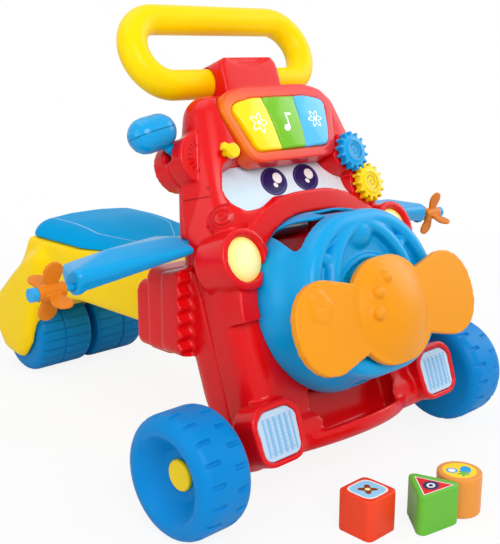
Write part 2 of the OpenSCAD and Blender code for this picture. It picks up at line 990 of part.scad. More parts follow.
module ignition_key() {
    color(yellow) on_face() translate([turnkey_u, turnkey_v, turnkey_w + gap]) {
        cylinder(r = turnkey_r, h = turnkey_t);
        rotate([0, 0, turnkey_angle]) translate([0, -turnkey_r * half_share, 0])
            cube([turnkey_tip, turnkey_r, turnkey_t - overrun]);
        translate([0, 0, -turnkey_tip + 2 * gap]) cylinder(r = turnkey_pin_r, h = turnkey_tip);
    }
}

// Handle and clamp
module on_handle() {
    on_face() translate([0, handle_v, handle_w]) rotate([handle_tilt, 0, 0]) children();
}

module handle() {
    color(yellow) on_handle() {
        for (v = [0, 2 * loop_r]) translate([0, v, 0]) rod(grip_r, -bar_half, bar_half);
        both() translate([bar_half, loop_r, 0]) rotate([0, 0, -square_angle])
            rotate_extrude(angle = half_turn) translate([loop_r, 0]) circle(r = grip_r);
    }
}

module clamp_block(slack) {
    on_face() translate([0, 0, clamp_back - slack])
        plate([[-clamp_half - slack, clamp_low - slack], [clamp_half + slack, clamp_low - slack],
            [clamp_half + slack, clamp_top + slack], [-clamp_half - slack, clamp_top + slack]],
            [0, 0, clamp_round, clamp_round], clamp_front - clamp_back + 2 * slack);
}

module handle_clamp() {
    color(red) difference() {
        clamp_block(0);
        on_handle() rod(grip_r + gap, -far, far);
        on_face() translate([0, clamp_top + smile_r - clamp_round, clamp_front - smile_depth])
            cylinder(r = smile_r - smile_depth, h = far);
    }
}

// Axles and wheels
module front_axle() {
    reach = track_half + wheel_w / 2 - dish_depth - gap;
    color(steel) at_axle() rod(axle_r, -reach, reach);
}

function wheel_profile() =
    let (side = wheel_w / 2, floor_w = side - dish_depth, bore = axle_r + fit)
    rounded([[bore, -side], [wheel_r, -side], [wheel_r, side], [dish_outer, side], [dish_inner, floor_w],
        [bore, floor_w]], [0, tyre_round, tyre_round, tyre_round / 2, tyre_round / 2, 0]);

module tread_slot(a, at) {
    rotate([0, 0, a]) translate([wheel_r - tread_depth, -tread_width / 2, at - tread_len / 2])
        cube([2 * tread_depth, tread_width, tread_len]);
}

module front_wheel() {
    color(blue) at_axle() translate([track_half, 0, 0]) rotate([0, square_angle, 0]) difference() {
        rotate_extrude() polygon(wheel_profile());
        for (i = [1:tread_count]) {
            tread_slot(i * full_turn / tread_count, tread_row);
            tread_slot((i + half_share) * full_turn / tread_count, -tread_row);
        }
    }
}

module front_wheel_left() {
    mirror([1, 0, 0]) front_wheel();
}

module front_wheel_right() {
    front_wheel();
}

module hub_cap() {
    color(yellow) at_axle() translate([track_half + wheel_w / 2 - dish_depth, 0, 0])
        rotate([0, square_angle, 0]) rotate_extrude()
            polygon(rounded([[0, 0], [cap_r, 0], [cap_r, cap_t], [0, cap_t]], [0, 0, cap_round, 0]));
}

module hub_cap_left() {
    mirror([1, 0, 0]) hub_cap();
}

module hub_cap_right() {
    hub_cap();
}

module rear_axle() {
    color(steel) at_rear() rod(rear_axle_r, -body_half - fender_t / 2, body_half + fender_t / 2);
}

function roller_len() = body_half - roller_gap - gap;
function roller_profile() = rounded([[rear_axle_r + fit, 0], [roller_r, 0], [roller_r, roller_len()],
    [rear_axle_r + fit, roller_len()]], [0, roller_round / 2, roller_round, 0]);

module rear_roller() {
    color(blue) at_rear() translate([roller_gap, 0, 0]) rotate([0, square_angle, 0]) difference() {
        rotate_extrude() polygon(roller_profile());
        translate([0, 0, roller_len() * half_share]) difference() {
            cylinder(r = roller_r + overrun, h = groove_w);
            cylinder(r = roller_r - groove_depth, h = groove_w);
        }
        for (i = [1:line_count]) rotate([0, 0, i * full_turn / line_count])
            translate([roller_r - line_depth, -line_width / 2, roller_round])
                cube([2 * line_depth, line_width, roller_len() - 2 * roller_round - overrun]);
    }
}

module rear_roller_left() {
    mirror([1, 0, 0]) rear_roller();
}

module rear_roller_right() {
    rear_roller();
}

// Rear body and seat
module fender() {
    toy() one_blob([for (p = fender_pts) [body_half, wheelbase + p[0], p[1], fender_t]]);
}

module body_slab(half) {
    toy() translate([half, 0, 0]) rotate([square_angle, 0, square_angle]) mirror([0, 0, 1])
        plate(side_profile, side_round, 2 * half);
}

module seat_screw_holes(r, h) {
    toy() both() for (s = seat_screw_spots) translate([s[0], wheelbase + s[1], 0]) cylinder(r = r, h = h);
}

module rear_body() {
    color(yellow) difference() {
        union() {
            difference() {
                union() {
                    body_slab(body_half);
                    intersection() {
                        at_rear() rod(hood_r, -body_half, body_half);
                        at_rear() translate([-far, 0, -roller_r * half_share]) cube([2 * far, far, far]);
                    }
                    both() fender();
                }
                at_rear() both()
                    rod(roller_r + wheel_clear, roller_gap - wheel_clear * half_share, body_half);
            }
        }
        at_rear() rod(rear_axle_r + fit, -body_half - fender_t / 2 - gap, body_half + fender_t / 2 + gap);
        seat_screw_holes(screw_r + fit, far);
        seat_screw_holes(screw_head_r + gap, seat_screw_low);
    }
}

module seat() {
    color(blue) difference() {
        toy() translate([0, wheelbase, 0]) blob(seat_pts);
        toy() translate([-far, -far, deck_z - far]) cube([2 * far, 4 * far, far]);
        seat_screw_holes(screw_r + fit, seat_screw_low + seat_screw_len + overrun - screw_head_t);
    }
}

// Inside pieces and fasteners
module battery_door() {
    color(red) on_face() difference() {
        translate([-door_half, cell_v - door_v_half, door_back])
            cube([2 * door_half, 2 * door_v_half, door_t]);
        translate([0, cell_v + door_v_half - screw_head_r - 2 * gap, door_back - overrun])
            cylinder(r = screw_r + fit, h = far);
    }
}

module batteries() {
    color(steel) on_face() for (i = [-1, 0, 1]) translate([-cell_len / 2, cell_v + i * cell_pitch, cell_w])
        rod(cell_r, 0, cell_len);
}

module circuit_board() {
    color(green) on_face() translate([-board_half, board_v[0], board_w])
        cube([2 * board_half, board_v[1] - board_v[0], board_t]);
}

module speaker() {
    color(steel) on_face() translate([speaker_u, speaker_v, speaker_back])
        cylinder(r = speaker_r, h = speaker_t);
}

module case_screws() {
    color(steel) on_face() both() for (s = screw_spots) translate([s[0], s[1], screw_back]) {
        cylinder(r = screw_r, h = screw_len);
        cylinder(r = screw_head_r, h = screw_head_t);
    }
}

module seat_screws() {
    color(steel) toy() both() for (s = seat_screw_spots)
        translate([s[0], wheelbase + s[1], seat_screw_low - screw_head_t]) {
        cylinder(r = screw_r, h = seat_screw_len);
        cylinder(r = screw_head_r, h = screw_head_t);
    }
}

// Loose blocks
module block_square() {
    color(red) toy() translate([cube_at[0] - cube_edge / 2, cube_at[1] - cube_edge / 2, 0])
        plate([[0, 0], [cube_edge, 0], [cube_edge, cube_edge], [0, cube_edge]], block_round, block_h);
}

function triangle_pts(extra) =
    let (r = triangle_side / sqrt(3) + block_round + 2 * extra)
    [for (i = [0:2]) r * [sin(i * full_turn / 3), cos(i * full_turn / 3)]];

module block_triangle() {
    color(green) toy() translate([triangle_at[0], triangle_at[1], 0]) rotate([0, 0, triangle_turn])
        plate(triangle_pts(0), block_round, block_h);
}

module block_round() {
    color(orange) toy() translate([round_at[0], round_at[1], 0]) cylinder(r = round_r, h = block_h);
}

front_shell();
back_shell();
key_console();
key_yellow();
key_green();
key_blue();
windscreen();
nose_drum();
propeller();
propeller_shaft();
side_lamp_left();
side_lamp_right();
headlight_left();
headlight_right();
wing_left();
wing_right();
wing_paddle_left();
wing_paddle_right();
paddle_pin_left();
paddle_pin_right();
lever();
lever_pin();
gear_blue();
gear_yellow();
gear_pins();
ignition_key();
handle();
handle_clamp();
front_axle();
front_wheel_left();
front_wheel_right();
hub_cap_left();
hub_cap_right();
rear_body();
seat();
rear_axle();
rear_roller_left();
rear_roller_right();
battery_door();
batteries();
circuit_board();
speaker();
case_screws();
seat_screws();
block_square();
block_triangle();
block_round();
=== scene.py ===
"""Looks of a ride-on aeroplane toy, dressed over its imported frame."""

import json
import math

import bmesh
import bpy
from mathutils import Matrix, Vector


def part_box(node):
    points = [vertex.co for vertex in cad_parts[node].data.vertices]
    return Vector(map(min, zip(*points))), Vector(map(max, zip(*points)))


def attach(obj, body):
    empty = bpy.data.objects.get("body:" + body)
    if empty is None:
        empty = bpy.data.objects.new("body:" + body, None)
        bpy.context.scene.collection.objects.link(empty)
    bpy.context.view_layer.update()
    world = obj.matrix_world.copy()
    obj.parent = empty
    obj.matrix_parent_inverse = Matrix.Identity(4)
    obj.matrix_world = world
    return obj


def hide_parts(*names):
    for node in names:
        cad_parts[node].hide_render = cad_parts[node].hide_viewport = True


bl_info = {
    "name": "Ride-on Aeroplane Toy",
    "version": (1, 0, 0),
    "blender": (4, 5, 0),
    "location": "3D View > Sidebar > Toy",
    "description": "Dresses the packed frame of a ride-on aeroplane toy and sets up its studio",
    "category": "Object",
}

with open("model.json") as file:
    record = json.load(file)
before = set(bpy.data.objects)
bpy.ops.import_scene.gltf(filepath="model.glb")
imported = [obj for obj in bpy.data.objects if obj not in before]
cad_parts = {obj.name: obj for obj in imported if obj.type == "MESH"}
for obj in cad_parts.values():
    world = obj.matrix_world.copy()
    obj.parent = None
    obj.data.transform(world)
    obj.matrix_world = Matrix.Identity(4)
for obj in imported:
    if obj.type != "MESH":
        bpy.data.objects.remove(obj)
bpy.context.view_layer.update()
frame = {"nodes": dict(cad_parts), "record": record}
NODES = frame["nodes"]
RECORD = frame["record"]
BODY_OF = {node: body for body, nodes in RECORD["behaviour"]["bodies"].items() for node in nodes}
MM = 0.001
X_WAY = Vector((1.0, 0.0, 0.0))
Y_WAY = Vector((0.0, 1.0, 0.0))
Z_WAY = Vector((0.0, 0.0, 1.0))

# Frames of the toy: the middle of the set, then the leaning face, the windscreen and the key console,
# whose places are across, up and out of the face in millimetres
MIDDLE_Y = 182.0
FACE_ANGLE = math.radians(70.0)
FACE_PLACE = (0.0, 3.6 - MIDDLE_Y, 152.2)
SCREEN_ANGLE = math.radians(43.5)
SCREEN_PLACE = (0.0, 150.0, -17.0)
CONSOLE_ANGLE = math.radians(63.0)
CONSOLE_PLACE = (0.0, 198.0, -7.0)
NOSE_PLACE = (0.0, 20.0, 0.0)


def linear(red, green, blue):
    """A screen colour of 0 to 255 as the linear colour that a shader takes."""
    shares = [channel / 255 for channel in (red, green, blue)]
    return tuple(s / 12.92 if s <= 0.04045 else ((s + 0.055) / 1.055) ** 2.4 for s in shares)


def tilted(angle):
    """Across, up and out directions of a panel turned back by an angle from lying flat."""
    up = Vector((0.0, math.cos(angle), math.sin(angle)))
    return X_WAY, up, X_WAY.cross(up)


def face_point(across, up, out):
    """A point of the leaning face, in millimetres, as metres in the toy's frame."""
    u, v, w = tilted(FACE_ANGLE)
    return (Vector(FACE_PLACE) + across * u + up * v + out * w) * MM


def colour(name, words, default):
    """A colour that a user can change."""
    return bpy.props.FloatVectorProperty(
        name=name, description=words, subtype="COLOR", size=3, min=0.0, max=1.0, default=default
    )


def length(name, words, default):
    """A length that a user can change."""
    return bpy.props.FloatProperty(name=name, description=words, unit="LENGTH", precision=4, default=default)


def share(name, words, default):
    """A share from 0 to 1 that a user can change."""
    return bpy.props.FloatProperty(
        name=name, description=words, subtype="FACTOR", min=0.0, max=1.0, default=default
    )


class ToyColours(bpy.types.PropertyGroup):
    """Colours of the toy's mouldings"""

    red: colour("Casing red", "Glossy red of the casing", linear(224, 8, 16))
    blue: colour("Moulding blue", "Blue of the nose, wings, seat and gears", linear(0, 158, 222))
    wheel_blue: colour("Wheel blue", "Darker blue of the wheels and rollers", linear(0, 132, 206))
    yellow: colour("Body yellow", "Yellow of the handle and saddle body", linear(255, 216, 0))
    orange: colour("Blade orange", "Orange of the propeller", linear(234, 149, 12))
    # The paddles' deeper orange is the blade orange with painted shade, for the shade they sit in under the
    # wings.
    paddle_orange: colour("Paddle orange", "Deeper orange of the wing paddles", linear(220, 124, 14))
    pale: colour("Windscreen pale blue", "Pale blue of the windscreen", linear(208, 236, 251))
    lens: colour("Headlight blue", "Pale blue of the headlights", linear(126, 186, 232))
    screen_white: colour("Windscreen white", "Paler side of the windscreen", linear(232, 245, 252))
    amber: colour("Lamp amber", "Deeper yellow at the rims of the side lamps", linear(246, 208, 84))
    cream: colour("Lamp cream", "Warm cream of the side lamps", linear(255, 246, 176))
    navy: colour("Eye navy", "Dark blue of the printed eyes", linear(36, 28, 92))
    iris: colour("Eye ring", "Paler ring of the printed eyes", linear(84, 76, 150))
    key_yellow: colour("Yellow key", "Lit yellow of the left key", linear(250, 214, 8))
    key_green: colour("Green key", "Lit green of the middle key", linear(112, 182, 30))
    key_blue: colour("Blue key", "Lit blue of the right key", linear(84, 182, 228))
    lit_red: colour("Lit casing", "Orange tint where the keys light the casing", linear(222, 108, 10))
    lit_pink: colour("Lit casing at the blue key", "Pink tint beside the blue key", linear(214, 62, 70))
    block_red: colour("Square block", "Orange red of the square block", linear(238, 68, 34))
    block_green: colour("Triangle block", "Green of the triangular block", linear(104, 186, 58))
    block_orange: colour("Round block", "Orange of the round block", linear(236, 152, 66))
    brown: colour("Sticker brown", "Brown of the square block's sticker", linear(140, 62, 30))
    sky: colour("Sticker sky", "Pale blue field of the square block's sticker", linear(150, 208, 240))
    steel: colour("Axle steel", "Drawn steel of axles, pins and screws", (0.55, 0.56, 0.58))
    board: colour("Board green", "Green of the circuit board", linear(30, 110, 60))
    paper: colour("Print white", "White of the printed pictures", linear(250, 250, 248))


class ToySizes(bpy.types.PropertyGroup):
    """Skins, grooves and crowns of the mouldings"""

    large_skin: length("Large skin", "Grain of the skin over the casing and seat", 0.0018)
    body_skin: length("Body skin", "Grain of the skin over the saddle body", 0.0025)
    middle_skin: length("Middle skin", "Grain of the skin over the nose, blades and wheels", 0.0013)
    tread_skin: length("Tread skin", "Grain of the skin over the treads of the wheels", 0.0009)
    small_skin: length("Small skin", "Grain of the skin over small mouldings", 0.0008)
    peel: length("Surface peel", "Height of the fine unevenness of moulded plastic", 0.00002)
    groove: length("Groove depth", "Depth of the fine grooves in the mouldings", 0.0009)
    crown: length("Key crown", "How far the keys swell at their middle", 0.003)


class ToyStudio(bpy.types.PropertyGroup):
    """Camera and light of the studio"""

    lens: bpy.props.FloatProperty(
        name="Lens", description="Focal length of the camera in millimetres", default=60.88
    )
    key_power: bpy.props.FloatProperty(
        name="Key light", description="Power of the large light in front", unit="POWER", default=27.0
    )
    fill_power: bpy.props.FloatProperty(
        name="Fill light", description="Power of the light on the right", unit="POWER", default=12.0
    )
    top_power: bpy.props.FloatProperty(
        name="Top light", description="Power of the light overhead", unit="POWER", default=9.0
    )
    side_power: bpy.props.FloatProperty(
        name="Side light", description="Power of the light on the left", unit="POWER", default=6.0
    )
    room_light: share("Room light", "Strength of the white room round the toy", 0.5)


# Moulded plastic: flow clouds, a painted highlight on the edges, painted shade in the grooves and a fine
# coat
CLOUD_SCALE = 14.0
CLOUD_DETAIL = 3.0
CLOUD_DEEP = 0.92
CLOUD_ROUGH = 0.10
EDGE_START = 0.52
EDGE_RISE = 9.0
# Painted highlight on the outer edges: how pale they are painted, and how much of it shows
EDGE_HIGHLIGHT = 0.08
EDGE_HIGHLIGHT_SHARE = 0.35
EDGE_ROUGH = 0.06
# Painted shade in the grooves: how dark they are painted, and how much of it shows
GROOVE_SHADE = 0.45
GROOVE_SHADE_SHARE = 0.5
COAT_ROUGH = 0.06

# Drawn steel
STEEL_SCALE = 420.0
STEEL_DETAIL = 4.0
STEEL_DEEP = 0.8
STEEL_ROUGH = 0.24
STEEL_ROUGH_RANGE = 0.18


# Shader sums
class Number:
    """A number that runs through a material's nodes."""

    def __init__(self, finish, socket):
        self.finish = finish
        self.socket = socket

    def sum(self, operation, *values, clamp=False):
        """The outcome of a Math node."""
        settings = {"operation": operation, "use_clamp": clamp}
        node = self.finish.node("ShaderNodeMath", settings, dict(enumerate(values)))
        return Number(self.finish, node.outputs[0])

    def __add__(self, other):
        return self.sum("ADD", self, other)

    def __radd__(self, other):
        return self.sum("ADD", other, self)

    def __sub__(self, other):
        return self.sum("SUBTRACT", self, other)

    def __rsub__(self, other):
        return self.sum("SUBTRACT", other, self)

    def __mul__(self, other):
        return self.sum("MULTIPLY", self, other)

    def __rmul__(self, other):
        return self.sum("MULTIPLY", other, self)

    def __truediv__(self, other):
        return self.sum("DIVIDE", self, other)

    def __rtruediv__(self, other):
        return self.sum("DIVIDE", other, self)

    def __pow__(self, other):
        return self.sum("POWER", self, other)

    def __rpow__(self, other):
        return self.sum("POWER", other, self)

    def __abs__(self):
        return self.sum("ABSOLUTE", self)

    def clamped(self):
        """The number kept between 0 and 1."""
        return self.sum("ADD", self, 0.0, clamp=True)

    def lower(self, other):
        return self.sum("MINIMUM", self, other)

    def higher(self, other):
        return self.sum("MAXIMUM", self, other)

    def cosine(self):
        return self.sum("COSINE", self)

    def angle_to(self, across):
        """The angle of a point whose height is this number."""
        return self.sum("ARCTAN2", self, across)


class Finish:
    """A material or a world while its nodes are being joined."""

    def __init__(self, owner):
        self.owner = owner
        owner.use_nodes = True
        self.tree = owner.node_tree
        self.tree.nodes.clear()
        self.place = self.node("ShaderNodeTexCoord").outputs["Object"]

    def node(self, kind, settings=None, sockets=None):
        """A node of a kind, with its settings, then the values or links of its sockets."""
        made = self.tree.nodes.new(kind)
        for key, value in (settings or {}).items():
            setattr(made, key, value)
        for key, value in (sockets or {}).items():
            self.feed(made.inputs[key], value)
        return made

    def feed(self, socket, value):
        """Links a number or a socket to a socket, or sets its plain value."""
        if isinstance(value, Number):
            self.tree.links.new(value.socket, socket)
        elif isinstance(value, bpy.types.NodeSocket):
            self.tree.links.new(value, socket)
        else:
            socket.default_value = value

    def noise(self, scale, detail):
        """Soft random clouds of a scale."""
        sockets = {"Vector": self.place, "Scale": scale, "Detail": detail}
        return Number(self, self.node("ShaderNodeTexNoise", {}, sockets).outputs[0])

    def along(self, origin, direction):
        """How far a point lies along a direction from an origin, in millimetres."""
        shift = {"operation": "SUBTRACT"}
        moved = self.node("ShaderNodeVectorMath", shift, {0: self.place, 1: tuple(origin)})
        product = {"operation": "DOT_PRODUCT"}
        sockets = {0: moved.outputs[0], 1: tuple(direction / MM)}
        found = self.node("ShaderNodeVectorMath", product, sockets)
        return Number(self, found.outputs["Value"])

    def mix(self, amount, first, second):
        """A colour between two colours."""
        settings = {"data_type": "RGBA", "clamp_factor": True}
        sockets = {0: amount, 6: self.rgba(first), 7: self.rgba(second)}
        return self.node("ShaderNodeMix", settings, sockets).outputs[2]

    def rgba(self, tint):
        """A socket as it is, or a colour with full alpha."""
        return tint if isinstance(tint, bpy.types.NodeSocket) else (*tuple(tint)[:3], 1.0)

    def facing(self, direction):
        """How squarely the surface faces a direction, from -1 to 1."""
        normal = self.node("ShaderNodeNewGeometry").outputs["Normal"]
        product = {"operation": "DOT_PRODUCT"}
        found = self.node("ShaderNodeVectorMath", product, {0: normal, 1: tuple(direction)})
        return Number(self, found.outputs["Value"])

    def edges(self):
        """1 on outer edges and 0 elsewhere, where the moulding gets a painted highlight and a rougher
        finish.
        """
        point = self.node("ShaderNodeNewGeometry").outputs["Pointiness"]
        return ((Number(self, point) - EDGE_START) * EDGE_RISE).clamped()

    def bump(self, height):
        """The normal of a surface with a height in metres."""
        sockets = {"Height": height, "Distance": 1.0, "Strength": 1.0}
        return self.node("ShaderNodeBump", {}, sockets).outputs["Normal"]

    def close(self, **sockets):
        """Ends the material in one Principled shader."""
        names = {key.replace("_", " "): value for key, value in sockets.items()}
        shader = self.node("ShaderNodeBsdfPrincipled", {}, names)
        self.node("ShaderNodeOutputMaterial", {}, {"Surface": shader.outputs[0]})
        return self.owner


def material(name):
    """An empty material, ready for its nodes."""
    return Finish(bpy.data.materials.new(name))


def toy():
    """The scene's settings of the toy."""
    return bpy.context.scene.toy_colours, bpy.context.scene.toy_sizes, bpy.context.scene.toy_studio


def plastic(name, tint, rough=0.26, coat=0.1, grain=700.0, print_on=None, grooves=None, glow=0.0, shine=0.2):
    """Moulded plastic: slight flow clouds, a fine peel, a painted highlight on the edges, and any print and
    grooves, with painted shade in the grooves.
    """
    sizes = toy()[1]
    finish = material(name)
    cloud = finish.noise(CLOUD_SCALE, CLOUD_DETAIL)
    edge = finish.edges()
    deep = tuple(channel * CLOUD_DEEP for channel in tint)
    # Painted highlight: the outer edges are painted paler than the tint.
    pale = tuple(channel + (1.0 - channel) * EDGE_HIGHLIGHT for channel in tint)
    shaded = tuple(channel * GROOVE_SHADE for channel in tint)
    base = finish.mix(cloud, deep, tint)
    base = finish.mix(edge * EDGE_HIGHLIGHT_SHARE, base, pale)
    height = finish.noise(grain, detail=1.0) * sizes.peel
    if grooves:
        cut = grooves(finish)
        # Painted shade: the grooves are cut into the bump and also painted darker.
        height = height - cut * sizes.groove
        base = finish.mix(cut * GROOVE_SHADE_SHARE, base, shaded)
    if print_on:
        base = print_on(finish, base)
    sockets = {
        "Base_Color": base,
        "Roughness": rough + (cloud - 0.5) * CLOUD_ROUGH + edge * EDGE_ROUGH,
        "Specular_IOR_Level": shine,
        "Coat_Weight": coat,
        "Coat_Roughness": COAT_ROUGH,
        "Normal": finish.bump(height),
    }
    if glow:
        sockets["Emission_Color"] = base
        sockets["Emission_Strength"] = glow
    return finish.close(**sockets)


def metal(name, tint):
    """Drawn steel with a fine mottle."""
    finish = material(name)
    mottle = finish.noise(STEEL_SCALE, STEEL_DETAIL)
    base = finish.mix(mottle, tuple(channel * STEEL_DEEP for channel in tint), tint)
    rough = STEEL_ROUGH + mottle * STEEL_ROUGH_RANGE
    return finish.close(Base_Color=base, Metallic=1.0, Roughness=rough)


# Outlines, in millimetres
TRIANGLE_SIDES = 3
TILE_POWER = 4.0
SWIRL_START = 0.35
SWIRL_SOFT = 0.3


def reach(x, y):
    """How far a point lies from the middle."""
    return (x ** 2.0 + y ** 2.0) ** 0.5


def disc(across, up, middle, half, turn=0.0, soft=0.05):
    """1 inside an oval and 0 outside it."""
    c, s = math.cos(math.radians(turn)), math.sin(math.radians(turn))
    x, y = across - middle[0], up - middle[1]
    far = reach((x * c + y * s) / half[0], (y * c - x * s) / half[1])
    return ((1.0 - far) / soft + 0.5).clamped()


def dot(across, up, middle, radius, soft):
    """1 inside a circle and 0 outside it."""
    return disc(across, up, middle, (radius, radius), 0.0, soft)


def bar(across, up, middle, half, soft=0.4):
    """1 inside a rectangle and 0 outside it."""
    x = half[0] - abs(across - middle[0])
    y = half[1] - abs(up - middle[1])
    return (x.lower(y) / soft + 0.5).clamped()


def petals(across, up, middle, size, wave, count, turn=0.0):
    """How far inside a petalled outline a point lies, in millimetres."""
    x, y = across - middle[0], up - middle[1]
    outline = size + ((y.angle_to(x) - math.radians(turn)) * count).cosine() * wave
    return outline - reach(x, y)


def corners(across, up, middle, depth, turn):
    """How far inside a triangle a point lies, in millimetres, with a corner at a turn."""
    x, y = across - middle[0], up - middle[1]
    inside = None
    for side in range(TRIANGLE_SIDES):
        way = math.tau * (side + 0.5) / TRIANGLE_SIDES + math.radians(turn)
        left = depth - (x * math.cos(way) + y * math.sin(way))
        inside = left.lower(inside) if inside else left
    return inside


def ring(inside, half_width, soft=0.5):
    """1 on a line that follows an outline."""
    return ((half_width - abs(inside)) / soft + 0.5).clamped()


def filled(inside, soft=0.5):
    """1 inside an outline and 0 outside it."""
    return (inside / soft + 0.5).clamped()


def tile(across, up, half, soft=0.08):
    """1 inside a square with well rounded corners and 0 outside it."""
    far = ((across / half) ** TILE_POWER + (up / half) ** TILE_POWER) ** (1.0 / TILE_POWER)
    return ((1.0 - far) / soft + 0.5).clamped()


def swirl(x, y, pitch, radius):
    """1 on the line of a spiral and 0 between its turns."""
    far = reach(x, y)
    turns = (far * (math.tau / pitch) - y.angle_to(x)).cosine()
    return ((turns - SWIRL_START) / SWIRL_SOFT).clamped() * (radius - far).clamped()


# Prints: places in millimetres, leans in degrees, and how squarely a top has to face up
SCREEN_LEFT = -70.0
SCREEN_WIDTH = 130.0
EYE_MIDDLES = (-23.2, 22.2)
EYE_HEIGHT = -5.0
EYE_LEAN = 37.0
LIGHT_LEAN = 48.0
BLOSSOM_MIDDLE = (-40.0, 2.0)
FLOWER_MIDDLE = (39.0, 2.0)
PRINT_LINE = 0.8
GLOW_LEFT = -52.0
GLOW_WIDTH = 110.0
GLOW_HEIGHT = 2.0
GLOW_HALF = 22.0
GLOW_FADE = 20.0
TOP_START = 0.9
TOP_RISE = 20.0


def face_place(finish):
    """How far a point lies across, up and out of the leaning face."""
    return [finish.along(face_point(0.0, 0.0, 0.0), way) for way in tilted(FACE_ANGLE)]


def screen_place(finish):
    """How far a point lies across and up the windscreen."""
    across, up, _ = tilted(SCREEN_ANGLE)
    origin = face_point(*SCREEN_PLACE)
    return finish.along(origin, across), finish.along(origin, up)


def key_place(finish):
    """How far a point lies across and up the key console."""
    across, up, _ = tilted(CONSOLE_ANGLE)
    origin = face_point(*CONSOLE_PLACE)
    return finish.along(origin, across), finish.along(origin, up)


def eyes(finish, base):
    """Two leaning oval eyes with pale rings and catchlights, on a field that pales to one side."""
    colours = toy()[0]
    x, y = screen_place(finish)
    base = finish.mix((x - SCREEN_LEFT) / SCREEN_WIDTH, base, colours.screen_white)
    ovals = (
        ((20.6, 14.6), colours.navy),
        ((18.2, 12.6), colours.iris),
        ((17.4, 11.8), colours.navy),
    )
    for middle in EYE_MIDDLES:
        for half, tint in ovals:
            base = finish.mix(disc(x, y, (middle, EYE_HEIGHT), half, EYE_LEAN), base, tint)
        light = disc(x, y, (middle + 7.3, -1.2), (7.4, 5.3), LIGHT_LEAN, 0.12)
        spark = disc(x, y, (middle - 0.5, -9.4), (3.0, 2.6), LIGHT_LEAN, 0.2)
        base = finish.mix(light, base, colours.paper)
        base = finish.mix(spark, base, colours.paper)
    return base


def blossom_print(finish, base):
    """A five-petalled outline with a dot in it, on the yellow key."""
    x, y = key_place(finish)
    outline = petals(x, y, BLOSSOM_MIDDLE, size=7.5, wave=2.6, count=5.0)
    base = finish.mix(ring(outline, PRINT_LINE), base, toy()[0].paper)
    return finish.mix(dot(x, y, BLOSSOM_MIDDLE, 2.4, 0.3), base, toy()[0].paper)


def note_print(finish, base):
    """A plain music note, on the green key."""
    x, y = key_place(finish)
    head = disc(x, y, (-4.0, -5.0), (4.2, 3.2), 20.0, 0.2)
    stem = bar(x, y, (-0.6, 2.5), (0.8, 8.0))
    flag = bar(x, y, (2.6, 9.0), (4.0, 1.2))
    return finish.mix(head.higher(stem).higher(flag), base, toy()[0].paper)


def flower_print(finish, base):
    """A six-petalled outline with a dot in it, on the blue key."""
    x, y = key_place(finish)
    outline = petals(x, y, FLOWER_MIDDLE, size=6.6, wave=2.2, count=6.0)
    mark = ring(outline, PRINT_LINE).higher(dot(x, y, FLOWER_MIDDLE, 2.6, 0.3))
    return finish.mix(mark, base, toy()[0].paper)


def console_glow(finish, base):
    """Light of the keys on the console, orange at the left and pink at the right, fading to the rim."""
    colours = toy()[0]
    x, y = key_place(finish)
    glow = finish.mix((x - GLOW_LEFT) / GLOW_WIDTH, colours.lit_red, colours.lit_pink)
    return finish.mix((abs(y - GLOW_HEIGHT) - GLOW_HALF) / GLOW_FADE, glow, base)


def lens_print(finish, base):
    """Pale ribs and fine rows across a headlight, inside a pale border."""
    middle = (118.0, -82.0)
    half = (18.0, 17.0)
    rib_pitch = 7.0
    row_pitch = 3.5
    strength = 0.42
    across, up, _ = face_place(finish)
    side = abs(across)
    ribs = ((side - middle[0]) * (math.tau / rib_pitch)).cosine() * 0.5 + 0.5
    rows = (up * (math.tau / row_pitch)).cosine() * 0.15 + 0.85
    border = 1.0 - bar(side, up, middle, half, 1.5)
    return finish.mix((ribs * rows * strength).higher(border * strength), base, toy()[0].paper)


def lamp_print(finish, base):
    """Amber rim round the cream middle of a side lamp."""
    middle = (107.5, 76.0)
    radius = 21.0
    strength = 0.8
    across, up, _ = face_place(finish)
    x, y = abs(across) - middle[0], up - middle[1]
    return finish.mix((x ** 2.0 + y ** 2.0) / radius ** 2 * strength, base, toy()[0].amber)


def on_top(finish):
    """1 on faces that look up and 0 on the rest."""
    return ((finish.facing(Z_WAY) - TOP_START) * TOP_RISE).clamped()


def block_place(finish, node):
    """How far a point lies across and along a block's top from its middle."""
    low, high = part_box(node)
    middle = (Vector(low) + Vector(high)) / 2
    return finish.along(middle, X_WAY), finish.along(middle, Y_WAY)


def square_sticker(finish, base):
    """A four-leaved mark on a pale square."""
    colours = toy()[0]
    x, y = block_place(finish, "block_square")
    field = finish.mix(tile(x, y, 13.4), colours.paper, colours.sky)
    leaf = filled(petals(x, y, (0.0, 0.0), size=6.6, wave=2.4, count=4.0, turn=45.0))
    field = finish.mix(leaf, field, colours.brown)
    field = finish.mix(dot(x, y, (0.0, 0.0), 2.4, 0.3), field, colours.cream)
    return finish.mix(tile(x, y, 14.8) * on_top(finish), base, field)


def triangle_sticker(finish, base):
    """Leaning ovals, one in another, on a red triangle with a white edge."""
    colours = toy()[0]
    x, y = block_place(finish, "block_triangle")
    middle = (0.0, -5.0)
    lean = 20.0
    field = finish.mix(disc(x, y, middle, (8.6, 7.0), lean, 0.1), colours.red, colours.navy)
    field = finish.mix(disc(x, y, middle, (4.6, 3.6), lean, 0.15), field, colours.paper)
    field = finish.mix(disc(x, y, middle, (2.6, 2.0), lean, 0.2), field, colours.navy)
    edge = corners(x, y, middle, depth=10.4, turn=79.3)
    field = finish.mix(ring(edge, PRINT_LINE), field, colours.paper)
    return finish.mix(filled(edge) * on_top(finish), base, field)


